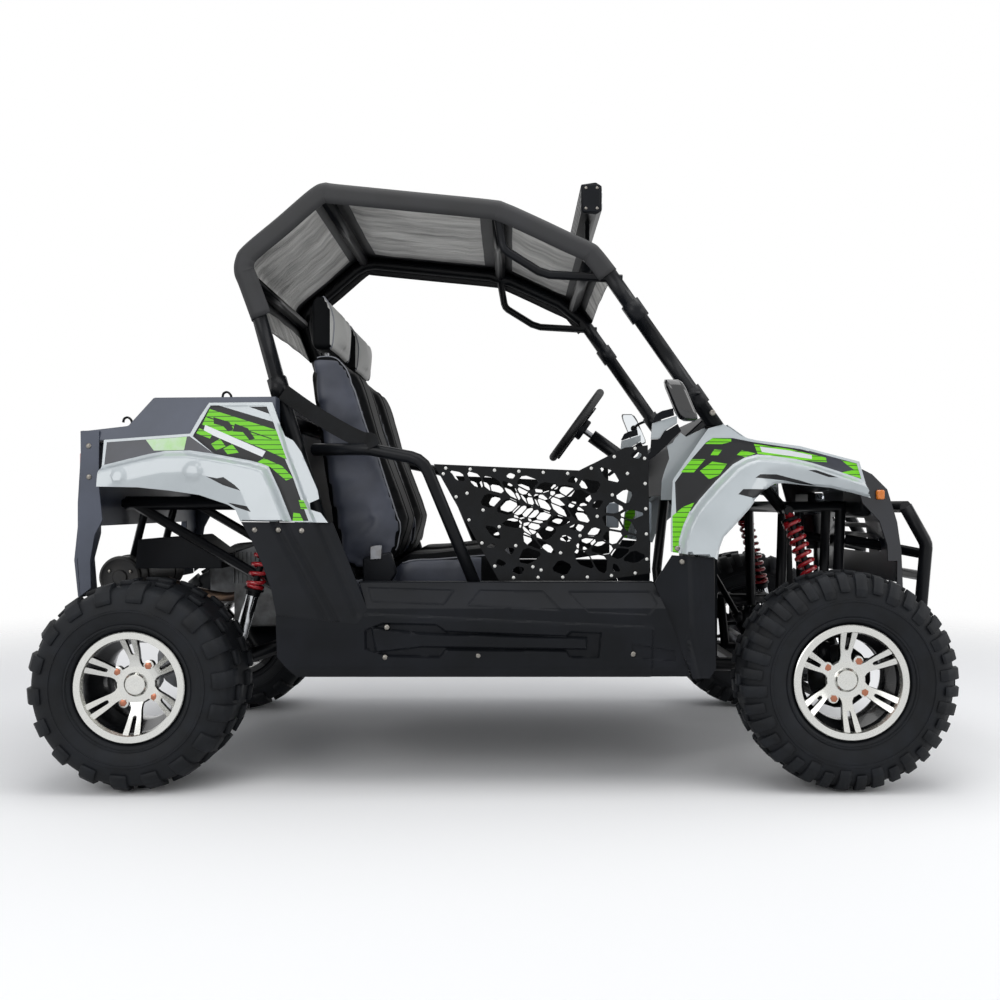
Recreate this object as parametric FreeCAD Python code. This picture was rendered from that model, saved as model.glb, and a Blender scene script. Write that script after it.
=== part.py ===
import FreeCAD, Part
import math
import os

from FreeCAD import Vector

# Side-by-side two-seat utility vehicle with a fabric canopy on a tube cage.
# Frame of the model: X points forward, Y to the left, Z up, ground at Z 0, in millimetres.
# The origin is on the ground under the middle of the overall length.

# Overall layout
WHEELBASE = 1739.0
FRONT_OVERHANG = 335.0
FRONT_TRACK = 1020.0
REAR_TRACK = 966.0

# Front tyre and rim
FRONT_TYRE_R = 267.0
FRONT_TYRE_W = 178.0
FRONT_BEAD_R = 127.0
FRONT_LIP_R = 140.0
FRONT_RIM_W = 150.0
FRONT_RIM_DISH = 44.0

# Rear tyre and rim
REAR_TYRE_R = 256.0
REAR_TYRE_W = 254.0
REAR_BEAD_R = 122.0
REAR_LIP_R = 135.0
REAR_RIM_W = 214.0
REAR_RIM_DISH = 76.0

# Tread and rim details
LUG_HEIGHT = 11.0
LUGS = 12
RIM_FACETS = 18
SPOKES = 6
LUG_BOLT_CIRCLE_R = 55.0
RIM_WALL = 5.0
FLANGE_LIP = 8.0
HUB_PLATE = 12.0

# Tubes, with the turn that one straight chord of a bend takes
CAGE_TUBE_R = 19.0
CAGE_FLATS = 8
FRAME_TUBE_R = 16.0
ARM_TUBE_R = 11.0
GUARD_TUBE_R = 15.0
BUMPER_TUBE_R = 16.0
CLAMP_WALL = 5.0
CLAMP_LENGTH = 52.0
HAND_HOLD_R = 10.0
CHORD_DEG = 22.0

# Panels and fits
PANEL = 4.0
SEAT_GAP = 0.3
RUN_GAP = 0.3
RUN_ROOM = 5.0

# Frame heights and widths
RAIL_Z = 262.0
RAIL_Y = 270.0
FRAME_TOP_Z = 700.0
FRONT_RAIL_Y = 150.0
FRONT_RAIL_Z = RAIL_Z - 18.0
FRONT_RAIL_END_DX = 170.0
FRONT_HEAD_Y = 200.0
FRONT_POST_DX = (-60.0, 60.0, 100.0)
LOOP_END_DX = -130.0
DECK_POST_DX = (60.0, 280.0)

# Cage, in side view ahead of the rear axle (B) and of the front axle (A)
CAGE_HALF_W = 381.0
CAGE_KINK_SPREAD = 16.0
CAGE_FOOT_SPREAD = 49.0
CAGE_BASE_A = (-285.0, 903.0)
CAGE_KINK_B = (327.0, 964.0)
CAGE_FOOT_B = (545.0, 282.0)

# Canopy line in side view, from the back hem over the top to the front hem
CANOPY_REAR = [(242.0, 1174.0), (196.0, 1299.0), (204.0, 1356.0), (416.0, 1537.0)]
CANOPY_FRONT = [(-849.0, 1490.0), (-662.0, 1405.0), (-595.0, 1374.0), (-545.0, 1311.0)]
CANOPY_SKIRT = 58.0
CANOPY_SHEET = 4.0
LIGHT_BAR_LOW = 1480.0
LIGHT_BAR_H = 87.0

# Cabin
SILL_HALF_W = 575.0
SILL_TOP_Z = 505.0
SILL_SHOULDER_Z = 445.0
SILL_WAIST_Z = 395.0
SILL_KNEE_Z = 300.0
SILL_SLOPE = 55.0
SILL_TUCK = 16.0
SILL_RECESS = 2.0
SEAT_SIDE_ROOM = 10.0
SEAT_MIDDLE_GAP = 74.0
SEAT_BOX_TOP = 440.0
SEAT_BOX_SIDE_ROOM = 40.0
GUARD_Y = 503.0

# Body planes and lines: (dx from the near axle, y, z) and (dx, z)
FENDER_F_PLANE = ((-426.0, -540.0, 572.0), (-271.0, -390.0, 915.0), (98.0, -430.0, 713.0))
FENDER_R_PLANE = ((438.0, -540.0, 650.0), (319.0, -470.0, 956.0), (-113.0, -480.0, 740.0))
FENDER_FOOT_Z = 650.0
HOOD_LINE = [(-271.0, 915.0), (-209.0, 869.0), (79.0, 806.0)]
NOSE_HALF = 360.0
LAMP_INSET = 125.0
LAMP_Z = 700.0
GRILLE_HALF = 140.0
GRILLE_SLOTS = 4
GRILLE_LOW_Z = 560.0
GRILLE_PITCH = 28.0
DECK_TOP = 969.0
DECK_DEPTH = 110.0
DECK_FRONT_DX = 325.0
TAIL_HALF = 450.0
TAIL_FACE_DX = -165.0
TAIL_LINE = [(-172.0, 884.0), (-183.0, 700.0), (-183.0, 640.0)]

# Front suspension and steering
KINGPIN_Y = 412.0
BALL_HALF = 13.0
BALL_GAP = 3.0
BUSH_HALF = 19.0
BUSH_R = 14.0
CLEVIS = 5.0
CLEVIS_REACH = 5.0
LOWER_ARM = {"pivot_dx": (-112.0, 112.0), "pivot_y": 184.0, "pivot_z": 240.0, "ball_z": 196.0, "post_y": 145.0}
UPPER_ARM = {"pivot_dx": (-135.0, -20.0), "pivot_y": 214.0, "pivot_z": 400.0, "ball_z": 342.0, "post_y": 180.0}
LOWER_BALL_Z = LOWER_ARM["ball_z"]
UPPER_BALL_Z = UPPER_ARM["ball_z"]
STEER_ARM = 85.0
STEER_ROD_Z = 276.0
RACK_HALF = 120.0
RACK_ROD_R = 9.0
TIE_ROD_R = 7.0
DISC_R = 78.0
SPINDLE_R = 14.0
PINION_TOP = (-30.0, 62.0)
YOKE_R = 14.0
YOKE_LENGTH = 30.0
LOWER_SHAFT_R = 8.0

# Shocks: (dx from the near axle, y, z) of each eye
EYE_R = 13.0
EYE_HALF = 13.0
SHOCK_SEAT_R = 27.0
COIL_STEPS = 6
FRONT_SHOCK_TOP = (-65.0, -262.0, 680.0)
FRONT_SHOCK_LOW = (66.0, -345.0, 234.0)
REAR_SHOCK_TOP = (296.0, -318.0, 700.0)
REAR_SHOCK_LOW = (188.0, -318.0, 313.0)

# Rear axle, swing arm and engine
AXLE_R = 15.0
REAR_DISC_Y = -150.0
CARRIER_HALF = 120.0
SWING_PIVOT = (350.0, 330.0)
ENGINE_FOOT_Z = 345.0
MUFFLER_DX = -179.0
MUFFLER_R = 60.0
MUFFLER_Z = 492.0

# Steering wheel and column
STEER_WHEEL_R = 140.0
STEER_GRIP_R = 13.0
STEER_RAKE_DEG = 36.0
STEER_Y = 220.0
STEER_HUB = (-609.0, 952.0)
COLUMN_LENGTH = 318.0
SHAFT_END = 12.0

OVERALL_LENGTH = REAR_TYRE_R + WHEELBASE + FRONT_OVERHANG
REAR_AXLE_X = -OVERALL_LENGTH / 2 + REAR_TYRE_R
FRONT_AXLE_X = REAR_AXLE_X + WHEELBASE
FRONT_END_X = OVERALL_LENGTH / 2
MUFFLER_X = REAR_AXLE_X + MUFFLER_DX

# Wheel planes and faces, measured from the middle of the vehicle
FRONT_WHEEL_Y = FRONT_TRACK / 2
REAR_WHEEL_Y = REAR_TRACK / 2
FRONT_FACE_Y = FRONT_WHEEL_Y + FRONT_RIM_W / 2
REAR_FACE_Y = REAR_WHEEL_Y + REAR_RIM_W / 2
FRONT_HUB_Y = FRONT_FACE_Y - FRONT_RIM_DISH - HUB_PLATE
REAR_HUB_Y = REAR_FACE_Y - REAR_RIM_DISH - HUB_PLATE
FRONT_AXLE_Z = FRONT_TYRE_R
REAR_AXLE_Z = REAR_TYRE_R
FRONT_DISC_Y = FRONT_HUB_Y - 42.0
RACK_X = FRONT_AXLE_X - STEER_ARM
FLOOR_TOP = RAIL_Z + FRAME_TUBE_R + PANEL
RAKE = math.radians(STEER_RAKE_DEG)
STEER_AXIS = Vector(-math.cos(RAKE), 0, math.sin(RAKE))
RAIL_DROP = CANOPY_SHEET + SEAT_GAP + CAGE_TUBE_R
CANOPY_HALF_W = CAGE_HALF_W + RAIL_DROP
CAGE_KINK_Y = CAGE_HALF_W + CAGE_KINK_SPREAD
CAGE_FOOT_Y = CAGE_HALF_W + CAGE_FOOT_SPREAD
PINION_Y = 0.3 * STEER_Y
SEAT_W = CAGE_KINK_Y - SEAT_SIDE_ROOM - SEAT_MIDDLE_GAP / 2
SEAT_Y = (SEAT_W + SEAT_MIDDLE_GAP) / 2
LAMP_Y = NOSE_HALF - LAMP_INSET

RIGHT = -1
LEFT = 1
SIDES = (RIGHT, LEFT)
SIDE_NAME = {RIGHT: "right", LEFT: "left"}

os.makedirs("parts", exist_ok=True)


def front(dx):
    """X of a point that lies dx ahead of the front axle."""
    return FRONT_AXLE_X + dx


def rear(dx):
    """X of a point that lies dx ahead of the rear axle."""
    return REAR_AXLE_X + dx


def save(name, shape):
    shape.exportStep("parts/" + name + ".step")


def fuse(shapes):
    if len(shapes) == 1:
        return shapes[0]
    return shapes[0].multiFuse(shapes[1:]).removeSplitter()


def group(shapes):
    return Part.makeCompound(shapes)


def mirrored(shape):
    """The same shape on the other side of the vehicle."""
    return shape.mirror(Vector(0, 0, 0), Vector(0, 1, 0))


def on_side(shape, side):
    """Shapes are drawn on the right side; the left side is their mirror image."""
    return shape if side == RIGHT else mirrored(shape)


def both_sides(shape):
    return group([shape, mirrored(shape)])


def block(x0, x1, y0, y1, z0, z1):
    return Part.makeBox(x1 - x0, y1 - y0, z1 - z0, Vector(x0, y0, z0))


def rod(start, end, radius):
    start, end = Vector(*start), Vector(*end)
    return Part.makeCylinder(radius, (end - start).Length, start, end - start)


def across(direction):
    """Two directions square to a third, the first of them level with Y where it can be."""
    guide = Vector(1, 0, 0) if abs(direction.y) > 0.99 else Vector(0, 1, 0)
    other = direction.cross(guide).normalize()
    return other.cross(direction).normalize(), other


def section(centre, direction, radius, sides):
    """The corners of a round section drawn with flats that touch its true circle."""
    u, v = across(direction)
    corner_r = radius / math.cos(math.pi / sides)
    angles = [2 * math.pi * (k + 0.5) / sides for k in range(sides)]
    return [centre + u * (corner_r * math.cos(a)) + v * (corner_r * math.sin(a)) for a in angles]


def skin_of(rings):
    """A solid whose surface runs from each ring of corners to the next and is capped at both ends."""
    faces = []
    for ring_a, ring_b in zip(rings, rings[1:]):
        for i in range(len(ring_a)):
            j = (i + 1) % len(ring_a)
            quad = [ring_a[i], ring_a[j], ring_b[j], ring_b[i]]
            faces.append(Part.Face(Part.makePolygon(quad + quad[:1])))
    for cap in (rings[0], rings[-1]):
        faces.append(Part.Face(Part.makePolygon(cap + cap[:1])))
    return closed_solid(faces)


def closed_solid(faces):
    solid = Part.Solid(Part.Shell(faces))
    if solid.Volume < 0:
        solid.reverse()
    return solid


def bent_line(points, bends):
    """The points of a path whose corners are turned as short chords of an arc."""
    line = [points[0]]
    for i in range(1, len(points) - 1):
        to_last = (points[i - 1] - points[i]).normalize()
        to_next = (points[i + 1] - points[i]).normalize()
        half = to_last.getAngle(to_next) / 2
        turn = math.pi - 2 * half
        if bends[i] <= 0 or turn < math.radians(6):
            line.append(points[i])
            continue
        bisector = (to_last + to_next).normalize()
        centre = points[i] + bisector * (bends[i] / math.sin(half))
        start = points[i] + to_last * (bends[i] / math.tan(half)) - centre
        axis = to_last.cross(to_next).normalize()
        chords = max(1, round(math.degrees(turn) / CHORD_DEG))
        for k in range(chords + 1):
            spin = FreeCAD.Rotation(axis, -math.degrees(turn) * k / chords)
            line.append(centre + spin.multVec(start))
    line.append(points[-1])
    return line


def tube(points, radius, bend=60.0, sides=6):
    """A bent tube along the points, mitred at each chord of its bends."""
    points = [Vector(*p) for p in points]
    bends = bend if isinstance(bend, (list, tuple)) else [bend] * len(points)
    line = bent_line(points, bends)
    runs = [(b - a).normalize() for a, b in zip(line, line[1:])]
    rings = [section(line[0], runs[0], radius, sides)]
    for i, run in enumerate(runs):
        following = runs[i + 1] if i + 1 < len(runs) else run
        mitre = (run + following).normalize()
        rings.append([p + run * ((line[i + 1] - p).dot(mitre) / run.dot(mitre)) for p in rings[-1]])
    return skin_of(rings)


def rounded_wire(points, radius):
    """A closed outline through the points, with a tangent arc at each corner."""
    count = len(points)
    ends, edges = [], []
    for i, corner in enumerate(points):
        to_last = (points[i - 1] - corner).normalize()
        to_next = (points[(i + 1) % count] - corner).normalize()
        half = to_last.getAngle(to_next) / 2
        if radius <= 0 or half > math.radians(89.5):
            ends.append((corner, corner))
            continue
        reach = radius / math.tan(half)
        start, end = corner + to_last * reach, corner + to_next * reach
        bisector = (to_last + to_next).normalize()
        centre = corner + bisector * (radius / math.sin(half))
        edges.append(Part.Arc(start, centre - bisector * radius, end).toShape())
        ends.append((start, end))
    for i in range(count):
        start, end = ends[i][1], ends[(i + 1) % count][0]
        if (end - start).Length > 0.01:
            edges.append(Part.LineSegment(start, end).toShape())
    return Part.Wire(Part.__sortEdges__(edges))


def side_plate(points, y0, y1, radius=0.0):
    """A plate drawn in side view, as X and Z, between two Y planes."""
    wire = rounded_wire([Vector(x, y0, z) for x, z in points], radius)
    return Part.Face(wire).extrude(Vector(0, y1 - y0, 0))


def plan_plate(points, z0, z1, radius=0.0):
    """A plate drawn in plan, as X and Y, between two heights."""
    wire = rounded_wire([Vector(x, y, z0) for x, y in points], radius)
    return Part.Face(wire).extrude(Vector(0, 0, z1 - z0))


def cross_plate(points, x0, x1, radius=0.0):
    """A plate drawn in front view, as Y and Z, between two X planes."""
    wire = rounded_wire([Vector(x0, y, z) for y, z in points], radius)
    return Part.Face(wire).extrude(Vector(x1 - x0, 0, 0))


def plane_through(first, second, third):
    """The Y of a leaning side plane, as a function of X and Z."""
    first, second, third = Vector(*first), Vector(*second), Vector(*third)
    normal = (second - first).cross(third - first)

    def y_at(x, z):
        return first.y - (normal.x * (x - first.x) + normal.z * (z - first.z)) / normal.y

    return y_at


def leaning_plate(points, y_at, thickness, radius=0.0, stand_off=0.0):
    """A plate drawn in side view that lies on a leaning plane, thick towards the middle of the vehicle."""
    wire = rounded_wire([Vector(x, y_at(x, z) - stand_off, z) for x, z in points], radius)
    return Part.Face(wire).extrude(Vector(0, thickness, 0))


def raised_pad(points, inner_points, y_at, height, sink=0.0):
    """A raised form on a leaning panel: its foot is one outline and its crown a smaller one."""
    foot = Part.makePolygon([Vector(x, y_at(x, z) + sink, z) for x, z in points + points[:1]])
    crown = Part.makePolygon(
        [Vector(x, y_at(x, z) - height, z) for x, z in inner_points + inner_points[:1]]
    )
    return Part.makeLoft([foot, crown], True, True)


def offset_line(points, distance):
    """An open line of X and Z points moved to its right by a distance, with mitred corners."""
    moved = []
    for i, (x, z) in enumerate(points):
        normals = []
        for j in (i - 1, i):
            if 0 <= j < len(points) - 1:
                dx, dz = points[j + 1][0] - points[j][0], points[j + 1][1] - points[j][1]
                length = math.hypot(dx, dz)
                normals.append((dz / length, -dx / length))
        nx, nz = sum(n[0] for n in normals), sum(n[1] for n in normals)
        scale = distance * len(normals) / (nx * nx + nz * nz)
        moved.append((x + nx * scale, z + nz * scale))
    return moved


def turned(profile, count):
    """A ring about the Y axis with flat facets, from a closed outline of (y, radius) points."""
    step = 2 * math.pi / count
    faces = []
    for k in range(count):
        near, far = k * step, (k + 1) * step
        for i, (y0, r0) in enumerate(profile):
            y1, r1 = profile[(i + 1) % len(profile)]
            quad = [
                Vector(r0 * math.sin(near), y0, r0 * math.cos(near)),
                Vector(r1 * math.sin(near), y1, r1 * math.cos(near)),
                Vector(r1 * math.sin(far), y1, r1 * math.cos(far)),
                Vector(r0 * math.sin(far), y0, r0 * math.cos(far)),
            ]
            faces.append(Part.Face(Part.makePolygon(quad + quad[:1])))
    return closed_solid(faces)


def stud(y0, y1, radius, sides, x=0.0, z=0.0):
    """A short bar along Y drawn with flats."""
    return skin_of([section(Vector(x, y, z), Vector(0, 1, 0), radius, sides) for y in (y0, y1)])


def lug_block(outline, length):
    """One tread block across the tyre, from its outline of (y, radius) points."""
    wire = Part.makePolygon([Vector(-length / 2, y, r) for y, r in outline + outline[:1]])
    return Part.Face(wire).extrude(Vector(length, 0, 0))


def around_axle(shape, count, phase_deg=0.0):
    """Copies of a shape spaced evenly about the Y axis."""
    copies = []
    for k in range(count):
        turned_copy = shape.copy()
        turned_copy.rotate(Vector(0, 0, 0), Vector(0, 1, 0), phase_deg + 360.0 * k / count)
        copies.append(turned_copy)
    return copies


def tyre(radius, width, bead_r, lip_r, rim_w):
    """A tyre about the Y axis at the origin, with its tread blocks fused to the carcass."""
    half = width / 2
    seat = rim_w / 2 - FLANGE_LIP - SEAT_GAP
    bore = bead_r + SEAT_GAP
    root = radius - LUG_HEIGHT
    cheek = radius - 0.17 * radius
    belly = (lip_r + cheek) / 2
    crown = 0.62 * half
    rows = [
        (seat, bore),
        (seat, lip_r + SEAT_GAP + 2),
        (half, belly),
        (half - 8, cheek),
        (crown, root - 6),
    ]
    profile = rows + [(-y, r) for y, r in reversed(rows)]
    carcass = turned(profile, RIM_FACETS)
    pitch = 2 * math.pi * root / LUGS
    outline = [
        (-0.16 * half, root - 14),
        (half - 2, cheek - 8),
        (half - 2, cheek + 12),
        (crown, radius - 1.5),
        (-0.16 * half, radius - 0.5),
    ]
    lug = lug_block(outline, 0.42 * pitch)
    blocks = around_axle(lug, LUGS, 90.0 / LUGS) + around_axle(mirrored(lug), LUGS, 270.0 / LUGS)
    return fuse([carcass] + blocks)


def spoke(inner_r, outer_r, dish, depth):
    """One split spoke: two bars from the hub to the rim that share a slot."""
    root_w, tip_w = 30.0, 40.0
    slot_w, slot_start = 11.0, inner_r + 0.34 * (outer_r - inner_r)
    face = [(inner_r, dish), (outer_r, 3.0), (outer_r, 3.0 + depth), (inner_r, dish + depth)]
    side = Part.makePolygon([Vector(-tip_w / 2, y, r) for r, y in face + face[:1]])
    bar = Part.Face(side).extrude(Vector(tip_w, 0, 0))
    plan = [
        (-root_w / 2, inner_r - 1),
        (root_w / 2, inner_r - 1),
        (tip_w / 2, outer_r),
        (-tip_w / 2, outer_r),
    ]
    keep = Part.makePolygon([Vector(x, -1, r) for x, r in plan + plan[:1]])
    keep = Part.Face(keep).extrude(Vector(0, dish + depth + 2, 0))
    slot = block(-slot_w / 2, slot_w / 2, -1, dish + depth + 1, slot_start, outer_r - 7)
    return bar.common(keep).cut(slot)


def rim(lip_r, bead_r, width, dish):
    """A cast rim about the Y axis. Its outer face is at Y 0 and it reaches inboard, towards +Y."""
    well_r = bead_r - 16.0
    bore_r = bead_r - RIM_WALL
    outer = [
        (0.0, lip_r),
        (FLANGE_LIP, lip_r),
        (FLANGE_LIP, bead_r),
        (0.42 * width, well_r),
        (width - FLANGE_LIP, bead_r),
        (width - FLANGE_LIP, lip_r),
        (width, lip_r),
        (width, bore_r),
        (0.42 * width, well_r - RIM_WALL),
        (0.0, bore_r + 4),
    ]
    barrel = turned(outer, RIM_FACETS)
    hub_r = LUG_BOLT_CIRCLE_R + 10.0
    hub = stud(dish, dish + HUB_PLATE, hub_r, 12)
    cap = stud(dish - 10, dish + 2, 21.0, 8)
    bars = around_axle(spoke(hub_r - 6, bore_r + 1.4, dish, HUB_PLATE), SPOKES, 30.0)
    return fuse([barrel, hub, cap] + bars)


def brake_disc(radius, y, thickness=4.0):
    return stud(y - thickness / 2, y + thickness / 2, radius, 20)


def build_front_wheels():
    centre = Vector(FRONT_AXLE_X, -FRONT_WHEEL_Y, FRONT_AXLE_Z)
    rubber = tyre(FRONT_TYRE_R, FRONT_TYRE_W, FRONT_BEAD_R, FRONT_LIP_R, FRONT_RIM_W)
    rubber.translate(centre)
    metal = rim(FRONT_LIP_R, FRONT_BEAD_R, FRONT_RIM_W, FRONT_RIM_DISH)
    metal.translate(Vector(FRONT_AXLE_X, -FRONT_FACE_Y, FRONT_AXLE_Z))
    depth = FRONT_HUB_Y - FRONT_DISC_Y + 2
    sleeve = stud(0, depth, 34.0, 12)
    hub = fuse([sleeve, brake_disc(DISC_R, depth - 2)])
    hub = hub.cut(rod((0, -1, 0), (0, depth + 1, 0), SPINDLE_R + RUN_GAP))
    hub.translate(Vector(FRONT_AXLE_X, -FRONT_HUB_Y, FRONT_AXLE_Z))
    for side in SIDES:
        name = SIDE_NAME[side]
        save("tyre_front_" + name, on_side(rubber, side))
        save("rim_front_" + name, on_side(metal, side))
        save("hub_front_" + name, on_side(hub, side))


def build_rear_axle():
    """The live axle with its brake disc and both rear wheels."""
    rubber = tyre(REAR_TYRE_R, REAR_TYRE_W, REAR_BEAD_R, REAR_LIP_R, REAR_RIM_W)
    rubber.translate(Vector(REAR_AXLE_X, -REAR_WHEEL_Y, REAR_AXLE_Z))
    save("tyres_rear", both_sides(rubber))
    metal = rim(REAR_LIP_R, REAR_BEAD_R, REAR_RIM_W, REAR_RIM_DISH)
    metal.translate(Vector(REAR_AXLE_X, -REAR_FACE_Y, REAR_AXLE_Z))
    save("rims_rear", both_sides(metal))
    shaft = rod((0, -REAR_HUB_Y, 0), (0, REAR_HUB_Y, 0), AXLE_R)
    hub = stud(REAR_HUB_Y - 60, REAR_HUB_Y, 34.0, 12)
    collar = stud(REAR_DISC_Y - 12, REAR_DISC_Y + 12, 30.0, 12)
    axle = fuse([shaft, hub, mirrored(hub), collar, brake_disc(85.0, REAR_DISC_Y, 5.0)])
    axle.translate(Vector(REAR_AXLE_X, 0, REAR_AXLE_Z))
    save("axle_rear", axle)


def build_knuckles():
    """The upright that carries a front wheel: ball joint ears, spindle, steering arm and caliper."""
    x, y, z = FRONT_AXLE_X, -KINGPIN_Y, FRONT_AXLE_Z
    low, high = LOWER_BALL_Z + BALL_HALF + BALL_GAP, UPPER_BALL_Z - BALL_HALF - BALL_GAP
    post_y = y - 20
    upright = block(x - 20, x + 20, post_y - 12, post_y + 12, low, high)
    ears = []
    for foot in (low, high - 14):
        ears.append(block(x - 17, x + 17, post_y - 12, y, foot, foot + 14))
        ears.append(rod((x, y, foot), (x, y, foot + 14), 17))
    spindle = rod((x, post_y, z), (x, -FRONT_HUB_Y + 3, z), SPINDLE_R)
    arm_z = STEER_ROD_Z + BALL_GAP + 12
    arm_plan = [
        (x - STEER_ARM - 13, y + 11),
        (x - STEER_ARM - 13, y - 11),
        (x - 20, post_y - 10),
        (x - 20, y - 8),
    ]
    arm = plan_plate(arm_plan, arm_z - 5, arm_z + 5)
    caliper = block(x - 56, x - 26, -FRONT_DISC_Y - 16, post_y, z + 36, z + DISC_R + 8)
    caliper = caliper.cut(block(x - 90, x, -FRONT_DISC_Y - 5, -FRONT_DISC_Y + 5, z, z + DISC_R + 2))
    link = block(x - 40, x - 12, post_y - 8, post_y + 4, z + 36, z + 52)
    knuckle = fuse([upright, spindle, arm, caliper, link] + ears)
    for side in SIDES:
        save("knuckle_" + SIDE_NAME[side], on_side(knuckle, side))


def arm_feet(arm):
    """The two pivots of a front arm on the frame, as (x, y, z)."""
    return [(front(dx), -arm["pivot_y"], arm["pivot_z"]) for dx in arm["pivot_dx"]]


def wishbone(arm):
    """A two-legged arm from its bushes on the frame to a ball joint on the kingpin line."""
    ball = Vector(FRONT_AXLE_X, -KINGPIN_Y, arm["ball_z"])
    pieces = [rod(ball - Vector(0, 0, BALL_HALF), ball + Vector(0, 0, BALL_HALF), 18.0)]
    thirds = []
    for x, y, z in arm_feet(arm):
        foot = Vector(x, y, z)
        pieces.append(tube([foot, ball], ARM_TUBE_R))
        pieces.append(tube([(x - BUSH_HALF, y, z), (x + BUSH_HALF, y, z)], BUSH_R))
        thirds.append(foot + (ball - foot) * 0.36)
    pieces.append(tube(thirds, ARM_TUBE_R - 2))
    return pieces


def build_front_arms():
    lower = wishbone(LOWER_ARM)
    x, y, z = FRONT_SHOCK_LOW
    plate_top = z - EYE_R
    lower.append(block(front(8), front(x + 18), y - 16, y + 20, plate_top - 14, plate_top))
    arms = group([fuse(lower), fuse(wishbone(UPPER_ARM))])
    save("arms_front", both_sides(arms))


def arm_clevises():
    """Pairs of plates on the front frame, with a bush of an arm between each pair."""
    plates = []
    for arm in (LOWER_ARM, UPPER_ARM):
        for x, y, z in arm_feet(arm):
            for x0 in (x - BUSH_HALF - CLEVIS, x + BUSH_HALF):
                plates.append(block(x0, x0 + CLEVIS, y - CLEVIS_REACH, -arm["post_y"], z - 12, z + 12))
    return plates


def coil_spring(start, end, coil_r, wire_r, turns):
    """An open coil of square wire between two points, in straight steps."""
    start, end = Vector(*start), Vector(*end)
    axis = (end - start).normalize()
    u, v = across(axis)
    length = start.distanceToPoint(end) - 2 * wire_r
    steps = int(turns * COIL_STEPS)
    rings = []
    for k in range(steps + 1):
        a = 2 * math.pi * k / COIL_STEPS
        out = u * math.cos(a) + v * math.sin(a)
        mid = start + axis * (wire_r + length * k / steps) + out * coil_r
        corners = ((-1, -1), (1, -1), (1, 1), (-1, 1))
        rings.append([mid + out * (wire_r * i) + axis * (wire_r * j) for i, j in corners])
    faces = []
    for ring_a, ring_b in zip(rings, rings[1:]):
        for i in range(4):
            j = (i + 1) % 4
            for three in ([ring_a[i], ring_a[j], ring_b[j]], [ring_a[i], ring_b[j], ring_b[i]]):
                faces.append(Part.Face(Part.makePolygon(three + three[:1])))
    for cap in (rings[0], rings[-1]):
        faces.append(Part.Face(Part.makePolygon(cap + cap[:1])))
    return closed_solid(faces)


def shock(top, bottom, spring_share):
    """A coil-over damper with eyes along Y and two spring seats, and its coil as a second shape."""
    top, bottom = Vector(*top), Vector(*bottom)
    unit = (bottom - top).normalize()
    length = top.distanceToPoint(bottom)
    seat_top = 30.0
    seat_low = seat_top + spring_share * (length - 60)
    eyes = [
        stud(end.y - EYE_HALF, end.y + EYE_HALF, EYE_R, 8, end.x, end.z) for end in (top, bottom)
    ]
    pieces = [
        tube([top, top + unit * seat_low], 9.0, sides=6),
        tube([top + unit * seat_low, bottom], 17.0),
        tube([top + unit * (seat_top - 7), top + unit * seat_top], SHOCK_SEAT_R, sides=8),
        tube([top + unit * seat_low, top + unit * (seat_low + 7)], SHOCK_SEAT_R, sides=8),
    ]
    coil = coil_spring(top + unit * seat_top, top + unit * seat_low, 21.0, 4.0, 5)
    return fuse(pieces + eyes), coil


def build_shocks():
    ends = [
        (front(FRONT_SHOCK_TOP[0]), FRONT_SHOCK_TOP, front(FRONT_SHOCK_LOW[0]), FRONT_SHOCK_LOW, 0.54),
        (rear(REAR_SHOCK_TOP[0]), REAR_SHOCK_TOP, rear(REAR_SHOCK_LOW[0]), REAR_SHOCK_LOW, 0.50),
    ]
    dampers, coils = [], []
    for top_x, top, low_x, low, share in ends:
        damper, coil = shock((top_x,) + top[1:], (low_x,) + low[1:], share)
        dampers += [damper, mirrored(damper)]
        coils += [coil, mirrored(coil)]
    save("shock_dampers", group(dampers))
    save("shock_springs", group(coils))


def rack_housing():
    """The outside of the rack's housing, solid, so that brackets can be coped to it."""
    return tube([(RACK_X, -RACK_HALF, STEER_ROD_Z), (RACK_X, RACK_HALF, STEER_ROD_Z)], 22.0, sides=12)


def pinion_top():
    return Vector(RACK_X + PINION_TOP[0], PINION_Y, STEER_ROD_Z + PINION_TOP[1])


def build_rack():
    """The housing is fixed. The rack inside carries both tie rods, whose ends lie under the steering arms."""
    x, z = RACK_X, STEER_ROD_Z
    pinion = tube([(x, PINION_Y, z + 10), pinion_top()], 17.0)
    bore = rod((x, -2 * RACK_HALF, z), (x, 2 * RACK_HALF, z), RACK_ROD_R + RUN_GAP)
    save("rack_housing", fuse([rack_housing(), pinion]).cut(bore))
    reach = RACK_HALF + 50
    pieces = [rod((x, -reach, z), (x, reach, z), RACK_ROD_R)]
    for s in SIDES:
        pieces.append(tube([(x, s * (reach - 6), z), (x, s * KINGPIN_Y, z)], TIE_ROD_R))
        pieces.append(tube([(x, s * KINGPIN_Y, z - 7), (x, s * KINGPIN_Y, z + 7)], 12.0))
    save("tie_rods", fuse(pieces))


def along_column(distance):
    """A point on the steering column's axis, a distance below the middle of the wheel."""
    hub = Vector(front(STEER_HUB[0]), STEER_Y, STEER_HUB[1])
    return hub - STEER_AXIS * distance


def column_tube():
    return tube([along_column(60), along_column(COLUMN_LENGTH)], 21.0, sides=12)


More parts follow.
